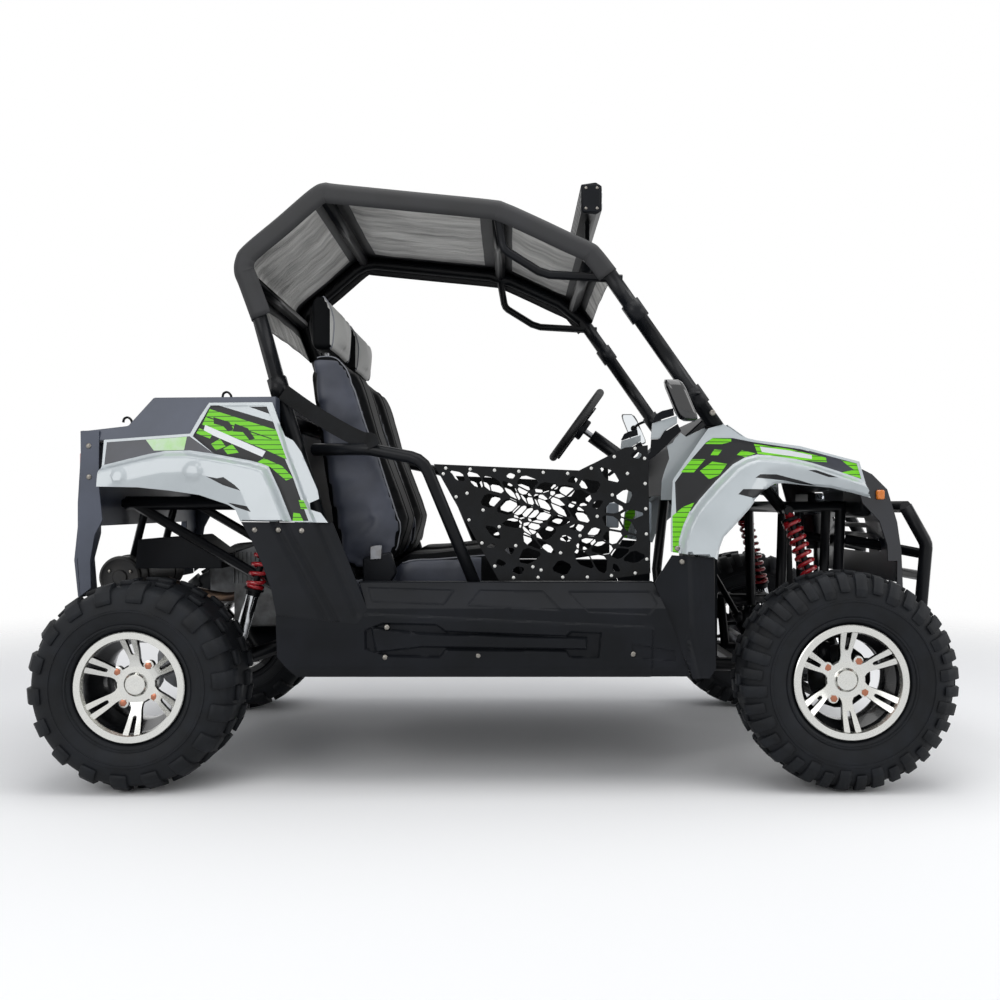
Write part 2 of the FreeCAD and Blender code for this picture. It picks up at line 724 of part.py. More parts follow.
def lower_shaft(clearance):
    """The shaft from the foot of the column to the pinion, with a joint's yoke at each end."""
    foot = pinion_top()
    pinion_axis = (foot - Vector(RACK_X, PINION_Y, STEER_ROD_Z + 10)).normalize()
    head = along_column(COLUMN_LENGTH + SHAFT_END + 1)
    low, high = foot + pinion_axis * YOKE_LENGTH, head - STEER_AXIS * YOKE_LENGTH
    return [
        tube([foot, low], YOKE_R + clearance, sides=8),
        tube([head, high], YOKE_R + clearance, sides=8),
        tube([low - pinion_axis * 8, high + STEER_AXIS * 8], LOWER_SHAFT_R + clearance),
    ]


def build_steering_wheel():
    """A three-spoke wheel with its shaft, and the fixed column that the shaft turns in."""
    grip_profile = []
    for k in range(6):
        a = 2 * math.pi * (k + 0.5) / 6
        corner = STEER_GRIP_R / math.cos(math.pi / 6)
        grip_profile.append((corner * math.sin(a), STEER_WHEEL_R - STEER_GRIP_R + corner * math.cos(a)))
    grip = turned(grip_profile, 18)
    boss = stud(12, 34, 36.0, 12)
    pieces = [grip, boss]
    for angle in (0.0, 120.0, 240.0):
        reach = STEER_WHEEL_R - STEER_GRIP_R
        face = [(34, -13), (reach - 8, -9), (reach - 8, 9), (34, 13)]
        outline = Part.makePolygon([Vector(x, 14, r) for r, x in face + face[:1]])
        arm = Part.Face(outline).extrude(Vector(0, 5, 0))
        strut = block(-9, 9, 2, 19, reach - 12, reach - 6)
        for piece in (arm, strut):
            piece.rotate(Vector(0, 0, 0), Vector(0, 1, 0), angle + 180)
            pieces.append(piece)
    wheel = fuse(pieces)
    down = -STEER_AXIS
    wheel.Placement = FreeCAD.Placement(
        along_column(0), FreeCAD.Rotation(Vector(0, -1, 0), down, Vector(-1, 0, 0), "YXZ")
    )
    shaft = rod(along_column(20), along_column(COLUMN_LENGTH + SHAFT_END), 9.0)
    save("steering_wheel", fuse([wheel, shaft]))
    bore = rod(along_column(0), along_column(2 * COLUMN_LENGTH), 9.0 + RUN_GAP)
    save("steering_column", group([column_tube().cut(bore), fuse(lower_shaft(0.0))]))


def canopy_line():
    back = [(rear(dx), z) for dx, z in CANOPY_REAR]
    return back + [(front(dx), z) for dx, z in CANOPY_FRONT]


def band(line, near, far):
    """The closed outline between two lines that run beside an open line."""
    return offset_line(line, near) + offset_line(line, far)[::-1]


def build_canopy():
    """A sewn cover: one sheet over the top and back, with a skirt outside each roof rail."""
    line = canopy_line()
    sheet = side_plate(band(line, 0.0, CANOPY_SHEET), -CANOPY_HALF_W, CANOPY_HALF_W)
    skirt = side_plate(band(line, 0.0, CANOPY_SKIRT), -CANOPY_HALF_W, -CANOPY_HALF_W + CANOPY_SHEET)
    save("canopy", fuse([sheet, skirt, mirrored(skirt)]))


def cage_side():
    """One bent tube: rear leg, roof rail and windscreen leg, cut level at both feet."""
    r = CAGE_TUBE_R
    rail = [(x, -CAGE_HALF_W, z) for x, z in offset_line(canopy_line(), RAIL_DROP)]
    leg_foot = (rear(CAGE_FOOT_B[0]), -CAGE_FOOT_Y, FLOOR_TOP - 30)
    leg_kink = (rear(CAGE_KINK_B[0]), -CAGE_KINK_Y, CAGE_KINK_B[1])
    post_foot = (front(CAGE_BASE_A[0]) + 25, -CAGE_HALF_W, CAGE_BASE_A[1] - 40)
    path = [leg_foot, leg_kink] + rail + [post_foot]
    bends = [0, 60, 60, 60, 70, 90, 200, 200, 200, 120, 0]
    side = tube(path, r, bends, sides=CAGE_FLATS)
    joints = [(rail[-1], post_foot, 0.22), (rail[-1], post_foot, 0.74), (leg_kink, rail[0], 0.16)]
    clamps = []
    for start, end, share in joints:
        start, end = Vector(*start), Vector(*end)
        middle, half = start + (end - start) * share, (end - start).normalize() * (CLAMP_LENGTH / 2)
        clamps.append(tube([middle - half, middle + half], r + CLAMP_WALL, sides=CAGE_FLATS))
    y = -CAGE_HALF_W
    hold_line = [(front(-858), y, 1462), (front(-840), y, 1362), (front(-735), y, 1297), (front(-530), y, 1285)]
    hold = tube(hold_line, HAND_HOLD_R, [0, 30, 60, 0])
    side = fuse([side, hold] + clamps)
    below = block(-1000, 0, -500, 0, 0, FLOOR_TOP)
    ahead = block(0, 1000, -500, 0, 0, CAGE_BASE_A[1])
    return side.cut(below).cut(ahead)


def build_cage(side):
    for s in SIDES:
        save("cage_" + SIDE_NAME[s], on_side(side, s))
    rail = offset_line(canopy_line(), RAIL_DROP)
    kink = (rear(CAGE_KINK_B[0]) + 16, CAGE_KINK_B[1] - 49)
    spots = [rail[1], rail[3], rail[4], rail[6], kink]
    bars = []
    for x, z in spots:
        reach = CAGE_KINK_Y if (x, z) == kink else CAGE_HALF_W
        bars.append(stud(-reach, reach, CAGE_TUBE_R - 3, 8, x, z))
    save("cage_cross_tubes", group(bars).cut(side).cut(mirrored(side)))


def rear_frame_side():
    """The lower rail of one side, with the rear loop, its stays and the deck's posts."""
    r, y = FRAME_TUBE_R, RAIL_Y
    back, bend, narrow = rear(SWING_PIVOT[0]), front(-230), front(-150)
    loop_end, stay_end, hanger_x = rear(LOOP_END_DX), rear(LOOP_END_DX + 20), rear(LOOP_END_DX + 2)
    rail = [(back, -y, RAIL_Z), (bend, -y, RAIL_Z), (narrow, -FRONT_RAIL_Y, FRONT_RAIL_Z)]
    rail.append((front(FRONT_RAIL_END_DX), -FRONT_RAIL_Y, FRONT_RAIL_Z))
    shock_x, shock_y, shock_z = REAR_SHOCK_TOP
    pieces = [
        tube(rail, r, 0),
        tube([(back, -y, RAIL_Z), (back, -y, FRAME_TOP_Z), (loop_end, -y, FRAME_TOP_Z)], r, 60),
        tube([(stay_end, -y, FRAME_TOP_Z), (back, -y, RAIL_Z + 170)], r - 4, 0),
        tube([(hanger_x, -120, FRAME_TOP_Z), (MUFFLER_X, -120, MUFFLER_Z)], 10.0, 0),
        stud(shock_y + EYE_HALF, -y - 4, EYE_R, 8, rear(shock_x), shock_z),
    ]
    for dx in DECK_POST_DX:
        pieces.append(tube([(rear(dx), -y, FRAME_TOP_Z), (rear(dx), -y, DECK_TOP - PANEL)], r - 4, 0))
    return pieces


def front_frame_side():
    """The upright frame round the front suspension on one side, and the pillar under the windscreen leg."""
    r, foot_y, head_y, foot = FRAME_TUBE_R, FRONT_RAIL_Y, FRONT_HEAD_Y, FRONT_RAIL_Z
    head = FRAME_TOP_Z - 10
    post_b, post_m, post_f = (front(dx) for dx in FRONT_POST_DX)
    pillar_x, pillar_y, shelf_z = front(CAGE_BASE_A[0]), CAGE_HALF_W - 19, CAGE_BASE_A[1]
    pivot_z = UPPER_ARM["pivot_z"]
    shock_x, shock_y, shock_z = FRONT_SHOCK_TOP
    pillar = [(front(-320), -RAIL_Y, RAIL_Z), (front(-330), -pillar_y, 480), (pillar_x, -pillar_y, shelf_z - 8)]
    hoop = [(post_b, -foot_y, foot), (post_b, -head_y, head), (post_f, -head_y, head), (post_f, -foot_y, foot)]
    return [
        tube(hoop, r - 3, 0),
        tube([(post_m, -foot_y, foot), (post_m, -head_y, head)], r - 4, 0),
        tube([(front(-165), -178, pivot_z), (post_f, -168, pivot_z)], r - 4, 0),
        tube([(front(-155), -176, pivot_z), (front(-145), -foot_y, foot)], r - 4, 0),
        tube([(post_b, -head_y, head - 10), (pillar_x + 6, 4 - pillar_y, shelf_z - 8)], r - 2, 0),
        tube(pillar, r - 2, 0),
        block(pillar_x - 26, pillar_x + 22, -pillar_y - 22, 22 - pillar_y, shelf_z - 8, shelf_z),
        stud(shock_y + EYE_HALF, -head_y, EYE_R, 8, front(shock_x), shock_z),
    ]


def welded_frame():
    """The welded lower frame, with its bulkheads, the rear subframe and the feet of the cage."""
    shapes = []
    for piece in rear_frame_side() + front_frame_side() + arm_clevises():
        shapes += [piece, mirrored(piece)]
    post_b, _, post_f = FRONT_POST_DX
    back, head = SWING_PIVOT[0], FRAME_TOP_Z - 10
    for dx in (620, 960):
        shapes.append(cross_tube(rear(dx), RAIL_Y, RAIL_Z))
    for dx in (back, LOOP_END_DX + 2):
        shapes.append(cross_tube(rear(dx), RAIL_Y, FRAME_TOP_Z))
    for dx in (post_b, post_f):
        shapes.append(cross_tube(front(dx), FRONT_HEAD_Y, head))
    for dx in (post_b, FRONT_RAIL_END_DX - 2):
        shapes.append(cross_tube(front(dx), FRONT_RAIL_Y, FRONT_RAIL_Z))
    shapes.append(cross_tube(front(-320), RAIL_Y, RAIL_Z))
    shapes.append(cross_tube(front(-190), 210, FRONT_RAIL_Z + 9))
    for s in SIDES:
        low, high = FRONT_RAIL_Z - 6, FRONT_RAIL_Z + 12
        shapes.append(block(RACK_X - 12, front(post_b), s * 90 - 8, s * 90 + 8, low, high))
    return fuse(shapes).cut(rack_housing()).cut(muffler_can())


def cross_tube(x, half, z):
    """A tube across the frame from one side's tubes to the other's."""
    return stud(-half, half, FRAME_TUBE_R - 2, 6, x, z)


def build_swingarm():
    """The arm that carries the rear axle's bearing tube, the shock feet and the closed chain case."""
    x, z = REAR_AXLE_X, REAR_AXLE_Z
    pivot_x, pivot_z = rear(SWING_PIVOT[0]), SWING_PIVOT[1]
    inner = RAIL_Y - FRAME_TUBE_R
    shock_x, shock_y, shock_z = rear(REAR_SHOCK_LOW[0]), REAR_SHOCK_LOW[1], REAR_SHOCK_LOW[2]
    chain_case = [
        (rear(-70), z - 60),
        (rear(-70), z + 60),
        (pivot_x - 20, ENGINE_FOOT_Z - 5),
        (pivot_x - 20, z + 34),
    ]
    pieces = [
        stud(-CARRIER_HALF, CARRIER_HALF, 34.0, 12, x, z),
        stud(-inner, inner, 20.0, 10, pivot_x, pivot_z),
        stud(-200, 200, 14.0, 8, rear(185), z + 14),
        side_plate(chain_case, 62, 96),
        block(rear(150), rear(300), -60, 60, z + 20, ENGINE_FOOT_Z),
    ]
    for s in SIDES:
        arm = [(pivot_x, s * 215, pivot_z), (rear(180), s * 205, z + 14)]
        arm += [(rear(112), s * 100, z), (x, s * 100, z)]
        pieces.append(tube(arm, 17.0, 0))
    disc = REAR_DISC_Y
    caliper = block(rear(50), rear(88), disc - 17, disc + 17, z + 28, z + 94)
    caliper = caliper.cut(block(rear(0), rear(90), disc - 5, disc + 5, z, z + 90))
    pieces.append(caliper)
    pieces.append(block(rear(54), rear(80), disc + 15, -96, z + 8, z + 52))
    foot = block(shock_x - 16, shock_x + 16, shock_y - EYE_HALF, -196, shock_z - EYE_R - 28, shock_z - EYE_R)
    body = fuse(pieces + [foot, mirrored(foot)])
    save("swingarm", body.cut(rod((x, -400, z), (x, 400, z), AXLE_R + RUN_GAP)))


def muffler_can():
    return stud(-190, 190, MUFFLER_R, 16, MUFFLER_X, MUFFLER_Z)


def build_engine():
    """Engine and belt case as plain masses with the air box behind them, and the exhaust."""
    foot = ENGINE_FOOT_Z
    crank_line = [(120, foot), (120, 560), (230, 600), (300, 570), (320, 440), (300, foot)]
    crank = side_plate([(rear(dx), z) for dx, z in crank_line], -110, 125)
    belt_line = [(-20, 420), (-20, 530), (60, 575), (230, 590), (300, 540), (290, 420), (220, 390), (80, 380)]
    belt_case = side_plate([(rear(dx), z) for dx, z in belt_line], 125, 190)
    save("engine", fuse([crank, belt_case]))
    box_line = [(-118, 520), (-110, 600), (50, 612), (120, 560), (120, 520)]
    save("air_box", side_plate([(rear(dx), z) for dx, z in box_line], -235, -80))
    pipe_line = [(MUFFLER_X + 30, 60, MUFFLER_Z - 20), (rear(-60), 40, 440)]
    pipe_line += [(rear(60), 0, 420), (rear(122), 0, 430)]
    pipe = tube(pipe_line, 14.0, 50)
    save("exhaust", fuse([muffler_can(), pipe]).cut(crank))


def sill_section(inset):
    """Front view of the sill moulding, moved inboard by an inset."""
    w = SILL_HALF_W - inset
    base = RAIL_Z + FRAME_TUBE_R - PANEL + inset
    top = SILL_TOP_Z - inset
    inner = -SILL_HALF_W + 90 + (30 if inset else 0)
    return [
        (inner, top), (-w + SILL_SLOPE, top), (-w, SILL_SHOULDER_Z), (-w, SILL_WAIST_Z),
        (-w + SILL_TUCK, SILL_KNEE_Z), (-w + SILL_SLOPE - SILL_TUCK, base), (inner, base),
    ]


def sill_recesses():
    """Shallow panels sunk into the sill: a long arrow in its wall and three fields on its tread edge."""
    w = SILL_HALF_W
    wall = plane_through((0, -w, SILL_WAIST_Z), (1, -w, SILL_WAIST_Z), (0, -w + SILL_TUCK, SILL_KNEE_Z))
    edge = plane_through((0, -w, SILL_SHOULDER_Z), (1, -w, SILL_SHOULDER_Z), (0, -w + SILL_SLOPE, SILL_TOP_Z))
    reach = 10.0
    top, low = SILL_WAIST_Z - 7, SILL_KNEE_Z + 18
    arrow = [(-345, top), (170, top), (215, (top + low) / 2), (170, low), (-300, low)]
    cuts = [leaning_plate(arrow, wall, reach + SILL_RECESS, stand_off=reach)]
    field_length, field_gap, taper = 135.0, 20.0, 14.0
    top, low = SILL_TOP_Z - 9, SILL_SHOULDER_Z + 7
    for k in range(3):
        start = -140 + k * (field_length + field_gap)
        end = start + field_length
        field = [(start, low), (end, low), (end - taper, top), (start + taper, top)]
        cuts.append(leaning_plate(field, edge, reach + SILL_RECESS, stand_off=reach))
    return cuts


def quarter_outline():
    """The black panel behind the door opening, in side view: its upper and its lower edge."""
    upper = [(257, FENDER_FOOT_Z), (482, FENDER_FOOT_Z)]
    lower = [(572, 442), (548, 408), (352, 429), (338, 488), (314, 549), (284, 610)]
    return [(rear(dx), z) for dx, z in upper + lower]


def front_panel_outline():
    """The black panel under the front fender, in side view."""
    points = [(-426, 572), (-325, 565), (-326, 290), (-345, 250), (-372, 250), (-470, 505)]
    return [(front(dx), z) for dx, z in points]


def build_sills():
    """The long side moulding under the door opening. Its ends are cut to the panels that meet it."""
    x0, x1 = rear(352), front(-323)
    outer = cross_plate(sill_section(0.0), x0, x1)
    inner = cross_plate(sill_section(PANEL), x0 + PANEL, x1 - PANEL)
    shell = outer.cut(inner)
    quarter = quarter_outline()
    panel = front_panel_outline()
    over_quarter = [(x0 - 10, 620), quarter[1], quarter[2], quarter[3], quarter[4], (x0 - 10, 430)]
    ahead = [panel[5], (panel[5][0], 600), (x1 + 10, 600), (x1 + 10, 200), (panel[4][0], 200), panel[4]]
    toe = [(x0 - 10, 240), (x0 - 10, 340), (x0 + 68, 240)]
    for cut in (over_quarter, ahead, toe):
        shell = shell.cut(side_plate(cut, -SILL_HALF_W - 50, -SILL_HALF_W + 89))
    shell = shell.cut(group(sill_recesses()))
    for side in SIDES:
        save("sill_" + SIDE_NAME[side], on_side(shell, side))


def build_side_panels():
    """The black panels behind and ahead of the door opening, hung from the fenders."""
    corner_a, corner_b = (rear(257), -540, FENDER_FOOT_Z), (rear(482), -540, FENDER_FOOT_Z)
    y_rear = plane_through(corner_a, corner_b, (rear(450), -577, 430))
    quarter = leaning_plate(quarter_outline(), y_rear, PANEL)
    y_front = plane_through((front(-426), -540, 572), (front(-325), -540, 565), (front(-400), -572, 300))
    panel = leaning_plate(front_panel_outline(), y_front, PANEL)
    save("side_panels_rear", both_sides(quarter))
    save("side_panels_front", both_sides(panel))


def front_fender_plane():
    return plane_through(*[(front(x), y, z) for x, y, z in FENDER_F_PLANE])


def rear_fender_plane():
    return plane_through(*[(rear(x), y, z) for x, y, z in FENDER_R_PLANE])


def between(y_at, x0, x1, z0, z1, inset):
    """The space between a leaning plane, moved inboard by an inset, and its mirror image."""
    corners = [(x0, z0), (x0, z1), (x1, z1), (x1, z0)]
    half = leaning_plate(corners, y_at, 1200, stand_off=-inset)
    return half.common(mirrored(half))


def build_fenders():
    y_front = front_fender_plane()
    outline = [
        (-426, 572), (-325, 565), (-304, 625), (-235, 707), (-158, 752), (98, 713), (79, 806), (-209, 869),
        (-258, 904), (-258, 896), (-300, 896), (-426, 803),
    ]
    skin = leaning_plate([(front(x), z) for x, z in outline], y_front, PANEL)
    flare = [
        (-410, 574), (-325, 567), (-304, 625), (-235, 707), (-158, 752), (92, 715),
        (88, 745), (-150, 815), (-200, 815), (-330, 735), (-385, 640),
    ]
    crown = [
        (-395, 580), (-337, 576), (-316, 633), (-241, 717), (-160, 763), (84, 726),
        (81, 738), (-152, 803), (-196, 802), (-318, 725), (-372, 636),
    ]
    pad = raised_pad([(front(x), z) for x, z in flare], [(front(x), z) for x, z in crown], y_front, 26.0, 1.0)
    slits = [
        [(-118, 790), (-52, 778), (-60, 790), (-112, 801)],
        [(-40, 776), (16, 766), (8, 777), (-36, 787)],
        [(-352, 650), (-330, 690), (-322, 684), (-343, 645)],
    ]
    fender = fuse([skin, pad])
    for slit in slits:
        fender = fender.cut(side_plate([(front(x), z) for x, z in slit], -700, 0))
    y_rear = rear_fender_plane()
    foot = FENDER_FOOT_Z
    outline = [
        (257, foot), (482, foot), (456, 695), (386, 844), (353, 865), (319, 956), (163, 956), (120, 876),
        (-113, 858), (-113, 740), (76, 732), (212, 707),
    ]
    skin = leaning_plate([(rear(x), z) for x, z in outline], y_rear, PANEL)
    flare = [
        (259, foot + 2), (405, foot + 2), (330, 785), (250, 815), (-10, 828), (-108, 780),
        (-108, 744), (76, 734), (212, 709),
    ]
    crown = [
        (266, 668), (380, 664), (318, 773), (246, 800), (-10, 812), (-98, 772),
        (-98, 753), (78, 745), (216, 722),
    ]
    pad = raised_pad([(rear(x), z) for x, z in flare], [(rear(x), z) for x, z in crown], y_rear, 24.0, 1.0)
    back = fuse([skin, pad])
    for side in SIDES:
        save("fender_front_" + SIDE_NAME[side], on_side(fender, side))
        save("fender_rear_" + SIDE_NAME[side], on_side(back, side))


def hood_line():
    return [(front(dx), z) for dx, z in HOOD_LINE]


def step_along(start, end, share):
    return (start[0] + (end[0] - start[0]) * share, start[1] + (end[1] - start[1]) * share)


def build_hood():
    """The centre panel between the front fenders, notched round the feet of the cage."""
    line = hood_line()
    sheet = side_plate(band(line, 0.0, PANEL), -460, 460)
    inside = between(front_fender_plane(), front(-300), front(110), 700, 960, PANEL)
    hood = sheet.common(inside)
    notch = block(front(-300), front(-258), -460, -352, 880, 960)
    save("hood", hood.cut(notch).cut(mirrored(notch)))


def bumper_tubes(clearance):
    """The loops, stays and cross bars of the bumper, thicker by a clearance to cut their way through a panel."""
    r = BUMPER_TUBE_R + clearance
    tip = FRONT_END_X - BUMPER_TUBE_R
    top_x = tip - 57
    low = FRONT_RAIL_Z
    loop = [
        (top_x, -250, 690),
        (tip, -250, 588),
        (tip - 16, -250, 410),
        (front(FRONT_RAIL_END_DX + 60), -FRONT_RAIL_Y, low),
        (front(FRONT_RAIL_END_DX), -FRONT_RAIL_Y, low),
    ]
    loop = tube(loop, r, [0, 40, 50, 0, 0])
    stay = tube([(front(FRONT_POST_DX[2] + 13), -FRONT_HEAD_Y, 600), (tip - 2, -240, 560)], r - 4, 0)
    return [
        loop,
        mirrored(loop),
        stay,
        mirrored(stay),
        stud(-250, 250, r, 8, top_x, 690),
        stud(-250, 250, r - 3, 8, tip - 8, 500),
    ]


def build_nose():
    """The dark front fascia with its headlamps and side markers."""
    tuck = offset_line(hood_line(), PANEL)
    start = step_along(tuck[-1], tuck[-2], 0.14)
    slope = [(front(130), 776), (front(170), 736), (front(196), 650), (front(207), 575), (front(212), 455)]
    line = [start, tuck[-1]] + slope
    thick = PANEL + 2
    shell = side_plate(band(line, 0.0, thick), -NOSE_HALF, NOSE_HALF)
    cheek_line = line[1:] + [(front(176), 455), (front(170), 590), (front(150), 652), (front(105), 700)]
    cheek = side_plate(cheek_line, -NOSE_HALF, -NOSE_HALF + thick)
    chin = block(front(90), front(196), -NOSE_HALF - 1, -290, 400, 548)
    mouth = block(front(90), front(240), 10 - NOSE_HALF, NOSE_HALF - 10, 400, 490)
    lamp = block(front(118), front(176), -LAMP_Y - 75, -LAMP_Y + 75, LAMP_Z - 36, LAMP_Z + 36)
    shell = fuse([shell, cheek, mirrored(cheek)])
    for shape in (chin, lamp):
        shell = shell.cut(shape).cut(mirrored(shape))
    shell = shell.cut(mouth)
    for k in range(GRILLE_SLOTS):
        low = GRILLE_LOW_Z + k * GRILLE_PITCH
        shell = shell.cut(block(front(150), front(260), -GRILLE_HALF, GRILLE_HALF, low, low + GRILLE_PITCH / 2))
    save("nose", shell.cut(group(bumper_tubes(RUN_ROOM))))
    marker = stud(-NOSE_HALF - 8, -NOSE_HALF, 11.0, 10, front(150), 722)
    (top_dx, top_z), (low_dx, low_z) = (step_along(TAIL_LINE[0], TAIL_LINE[1], t) for t in (0.28, 0.55))
    tail = [(top_dx, top_z), (-197, top_z), (-200, low_z), (low_dx, low_z)]
    tail_lamp = side_plate([(rear(dx), z) for dx, z in tail], -400, -300)
    lamps = [lamp, marker, tail_lamp]
    save("lamps", group(lamps + [mirrored(shape) for shape in lamps]))


def build_bumper(frame):
    save("front_bumper", fuse(bumper_tubes(0.0)).cut(frame))


def build_rear_body():
    """The rear deck, a hollow lid between the fenders, and the tail panel with its flaps."""
    base = DECK_TOP - DECK_DEPTH
    start_x, end_x = rear(TAIL_FACE_DX), rear(DECK_FRONT_DX)
    line = [(start_x, TAIL_LINE[0][1]), (rear(-55), 896), (rear(7), DECK_TOP), (end_x, DECK_TOP)]
    inner_line = offset_line(line, PANEL)
    solid = side_plate(line + [(end_x, base), (start_x, base)], -SILL_HALF_W, SILL_HALF_W)
    hollow_line = [(start_x + PANEL, base - 10), (start_x + PANEL, inner_line[0][1])] + inner_line[1:3]
    hollow_line += [(end_x - PANEL, DECK_TOP - PANEL), (end_x - PANEL, base - 10)]
    hollow = side_plate(hollow_line, -SILL_HALF_W, SILL_HALF_W)
    plane = rear_fender_plane()
    outside, inside = (between(plane, rear(-220), rear(400), 700, 1000, n * PANEL) for n in (1, 2))
    leg_room = CAGE_TUBE_R + RUN_ROOM
    leg_y = (-CAGE_KINK_Y - leg_room, -CAGE_HALF_W + leg_room)
    notch = block(end_x - 2.3 * leg_room, end_x + 50, *leg_y, base - 20, DECK_TOP + 1)
    deck = solid.common(outside).cut(hollow.common(inside))
    save("rear_deck", deck.cut(notch).cut(mirrored(notch)))
    top, low = TAIL_LINE[0], TAIL_LINE[-1]
    panel_line = TAIL_LINE + [(TAIL_FACE_DX, low[1]), (TAIL_FACE_DX, top[1])]
    panel = side_plate([(rear(dx), z) for dx, z in panel_line], -TAIL_HALF, TAIL_HALF)
    flap_line = [(TAIL_FACE_DX, 660), low, (-192, 555), (-182, 460), (-174, 460), (-182, 555)]
    flap_line.append((TAIL_FACE_DX, 620))
    flap = side_plate([(rear(dx), z) for dx, z in flap_line], -TAIL_HALF, -TAIL_HALF + 105)
    save("tail_panel", fuse([panel, flap, mirrored(flap)]))


def build_floor(frame):
    """The moulded tub: floor, toe board and the wall behind the seats."""
    half = SILL_HALF_W - 68
    cut_in = 440
    plan = [(rear(395), -half), (front(-470), -half), (front(-335), -cut_in), (front(-262), -285)]
    plan += [(x, -y) for x, y in reversed(plan)]
    pan = plan_plate(plan, FLOOR_TOP - PANEL, FLOOR_TOP)
    toe = block(front(-268), front(-262), -285, 285, FLOOR_TOP, 760)
    wall_line = [(rear(399), FLOOR_TOP), (rear(405), FLOOR_TOP), (rear(375), 880), (rear(369), 880)]
    wall = side_plate(wall_line, -370, 370)
    save("floor_tub", fuse([pan, toe, wall]).cut(frame).cut(group(lower_shaft(RUN_ROOM))))


def build_dash():
    line = hood_line()
    brow = step_along(line[0], line[1], -0.45)
    points = [(front(-400), 720), (front(-392), 850), brow, line[0]]
    panel = side_plate(band(points, 0.0, PANEL), -358, 358)
    save("dash", panel.cut(column_tube()))


def build_seats():
    """Two high-backed bucket seats on a common box."""
    foot = SEAT_BOX_TOP
    cushion = [(475, foot), (925, foot), (938, 500), (928, 560), (905, 580), (720, 558), (638, 552)]
    back_front = [(640, 640), (612, 720), (552, 880), (518, 1000), (498, 1062), (450, 1108)]
    headrest = [(452, 1170), (444, 1226), (428, 1248), (402, 1248), (388, 1226), (388, 1100)]
    back_rear = [(408, 960), (432, 790)]
    side = cushion + back_front + headrest + back_rear
    seat = side_plate([(rear(dx), z) for dx, z in side], -SEAT_Y - SEAT_W / 2, -SEAT_Y + SEAT_W / 2)
    for s in SIDES:
        save("seat_" + SIDE_NAME[s], on_side(seat, s))
    half = CAGE_FOOT_Y - SEAT_BOX_SIDE_ROOM
    save("seat_box", block(rear(480), rear(900), -half, half, FLOOR_TOP, SEAT_BOX_TOP))


def build_guards_and_nets(cage):
    """A bent bar beside each seat, and a net that closes the door opening ahead of it."""
    path = [(rear(410), -CAGE_KINK_Y - 13, 838), (rear(560), -470, 836)]
    path += [(rear(700), -GUARD_Y, 808), (rear(834), -GUARD_Y, SILL_TOP_Z - 20)]
    bar = tube(path, GUARD_TUBE_R, [0, 80, 60, 0], sides=10)
    bar = bar.cut(block(-500, 100, -600, 0, SILL_TOP_Z - 60, SILL_TOP_Z)).cut(cage)
    save("side_guards", both_sides(bar))
    y_at = plane_through((0, -GUARD_Y - 3, 520), (1, -GUARD_Y - 3, 520), (0, -GUARD_Y + 3, 800))
    outline = [
        (-1015, 798), (-648, 782), (-536, 840), (-478, 846), (-472, 524), (-600, SILL_TOP_Z),
        (-850, SILL_TOP_Z),
    ]
    net = leaning_plate([(front(dx), z) for dx, z in outline], y_at, 5.0)
    holes = []
    for row in range(2):
        for col in range(4):
            cx, cz = front(-790) + col * 82 + (row % 2) * 41, 595 + row * 88
            diamond = [(cx - 34, cz), (cx, cz - 34), (cx + 34, cz), (cx, cz + 34)]
            holes.append(side_plate(diamond, -540, -460))
    save("side_nets", both_sides(net.cut(Part.makeCompound(holes)).cut(bar)))


def build_fittings(cage):
    """Mirrors on the windscreen legs and a lamp bar on the front of the roof."""
    head_line = [(-427, 922), (-418, 910), (-370, 905), (-362, 915), (-362, 1000), (-372, 1012), (-424, 1012)]
    head = side_plate([(front(dx), z) for dx, z in head_line], -500, -465)
    rise = (CAGE_BASE_A[0] - (985 - CAGE_BASE_A[1]) * 0.637, 985)
    stem_x, stem_z = front(rise[0]), rise[1]
    stem_line = [(front(-395), -467, 960), (stem_x, -425, stem_z), (stem_x, -CAGE_HALF_W - CAGE_TUBE_R, stem_z)]
    stem = tube(stem_line, 4.5, 0)
    save("mirrors", both_sides(fuse([head, stem]).cut(cage)))
    x0 = front(-631)
    low, high = LIGHT_BAR_LOW, LIGHT_BAR_LOW + LIGHT_BAR_H
    lower, upper = [(0, low + 6), (40, low), (56, low + 10)], [(56, high - 10), (40, high), (0, high - 6)]
    bar = side_plate([(x0 + dx, z) for dx, z in lower + upper], -290, 290)
    for k in range(4):
        fin_z = low + 14 + k * 18
        bar = bar.cut(block(x0 - 1, x0 + 14, -286, 286, fin_z, fin_z + 9))
    leg = block(x0 + 18, x0 + 30, -200, -186, 1340, low + 4)
    under_roof = side_plate(canopy_line() + [(front(-545), 1200), (rear(242), 1100)], -300, 0)
    leg = leg.cut(under_roof)
    save("light_bar", fuse([bar, leg, mirrored(leg)]))


def build_pedals():
    """Two pedals on the toe board at the driver's feet, and the gear lever between the seats."""
    x, toe = front(-335), front(-268)
    pieces = []
    for y in (STEER_Y - 80, STEER_Y + 25):
        pad = block(x, x + 6, y - 27, y + 27, 400, 468)
        arm = block(x + 4, toe, y - 7, y + 7, 446, 460)
        pieces.append(fuse([pad, arm]))
    lever_x = rear(975)
    lever = tube([(lever_x, 0, FLOOR_TOP + 10), (lever_x - 15, 0, 450), (lever_x - 42, 0, 555)], 6.0, 0)
    knob = tube([(lever_x - 40, 0, 548), (lever_x - 50, 0, 588)], 17.0, sides=8)
    boot_rings = ((FLOOR_TOP, 42.0), (FLOOR_TOP + 38, 16.0))
    boot = skin_of([section(Vector(lever_x, 0, z), Vector(0, 0, 1), r, 8) for z, r in boot_rings])
    save("pedals_and_lever", group(pieces + [fuse([lever, knob, boot])]))


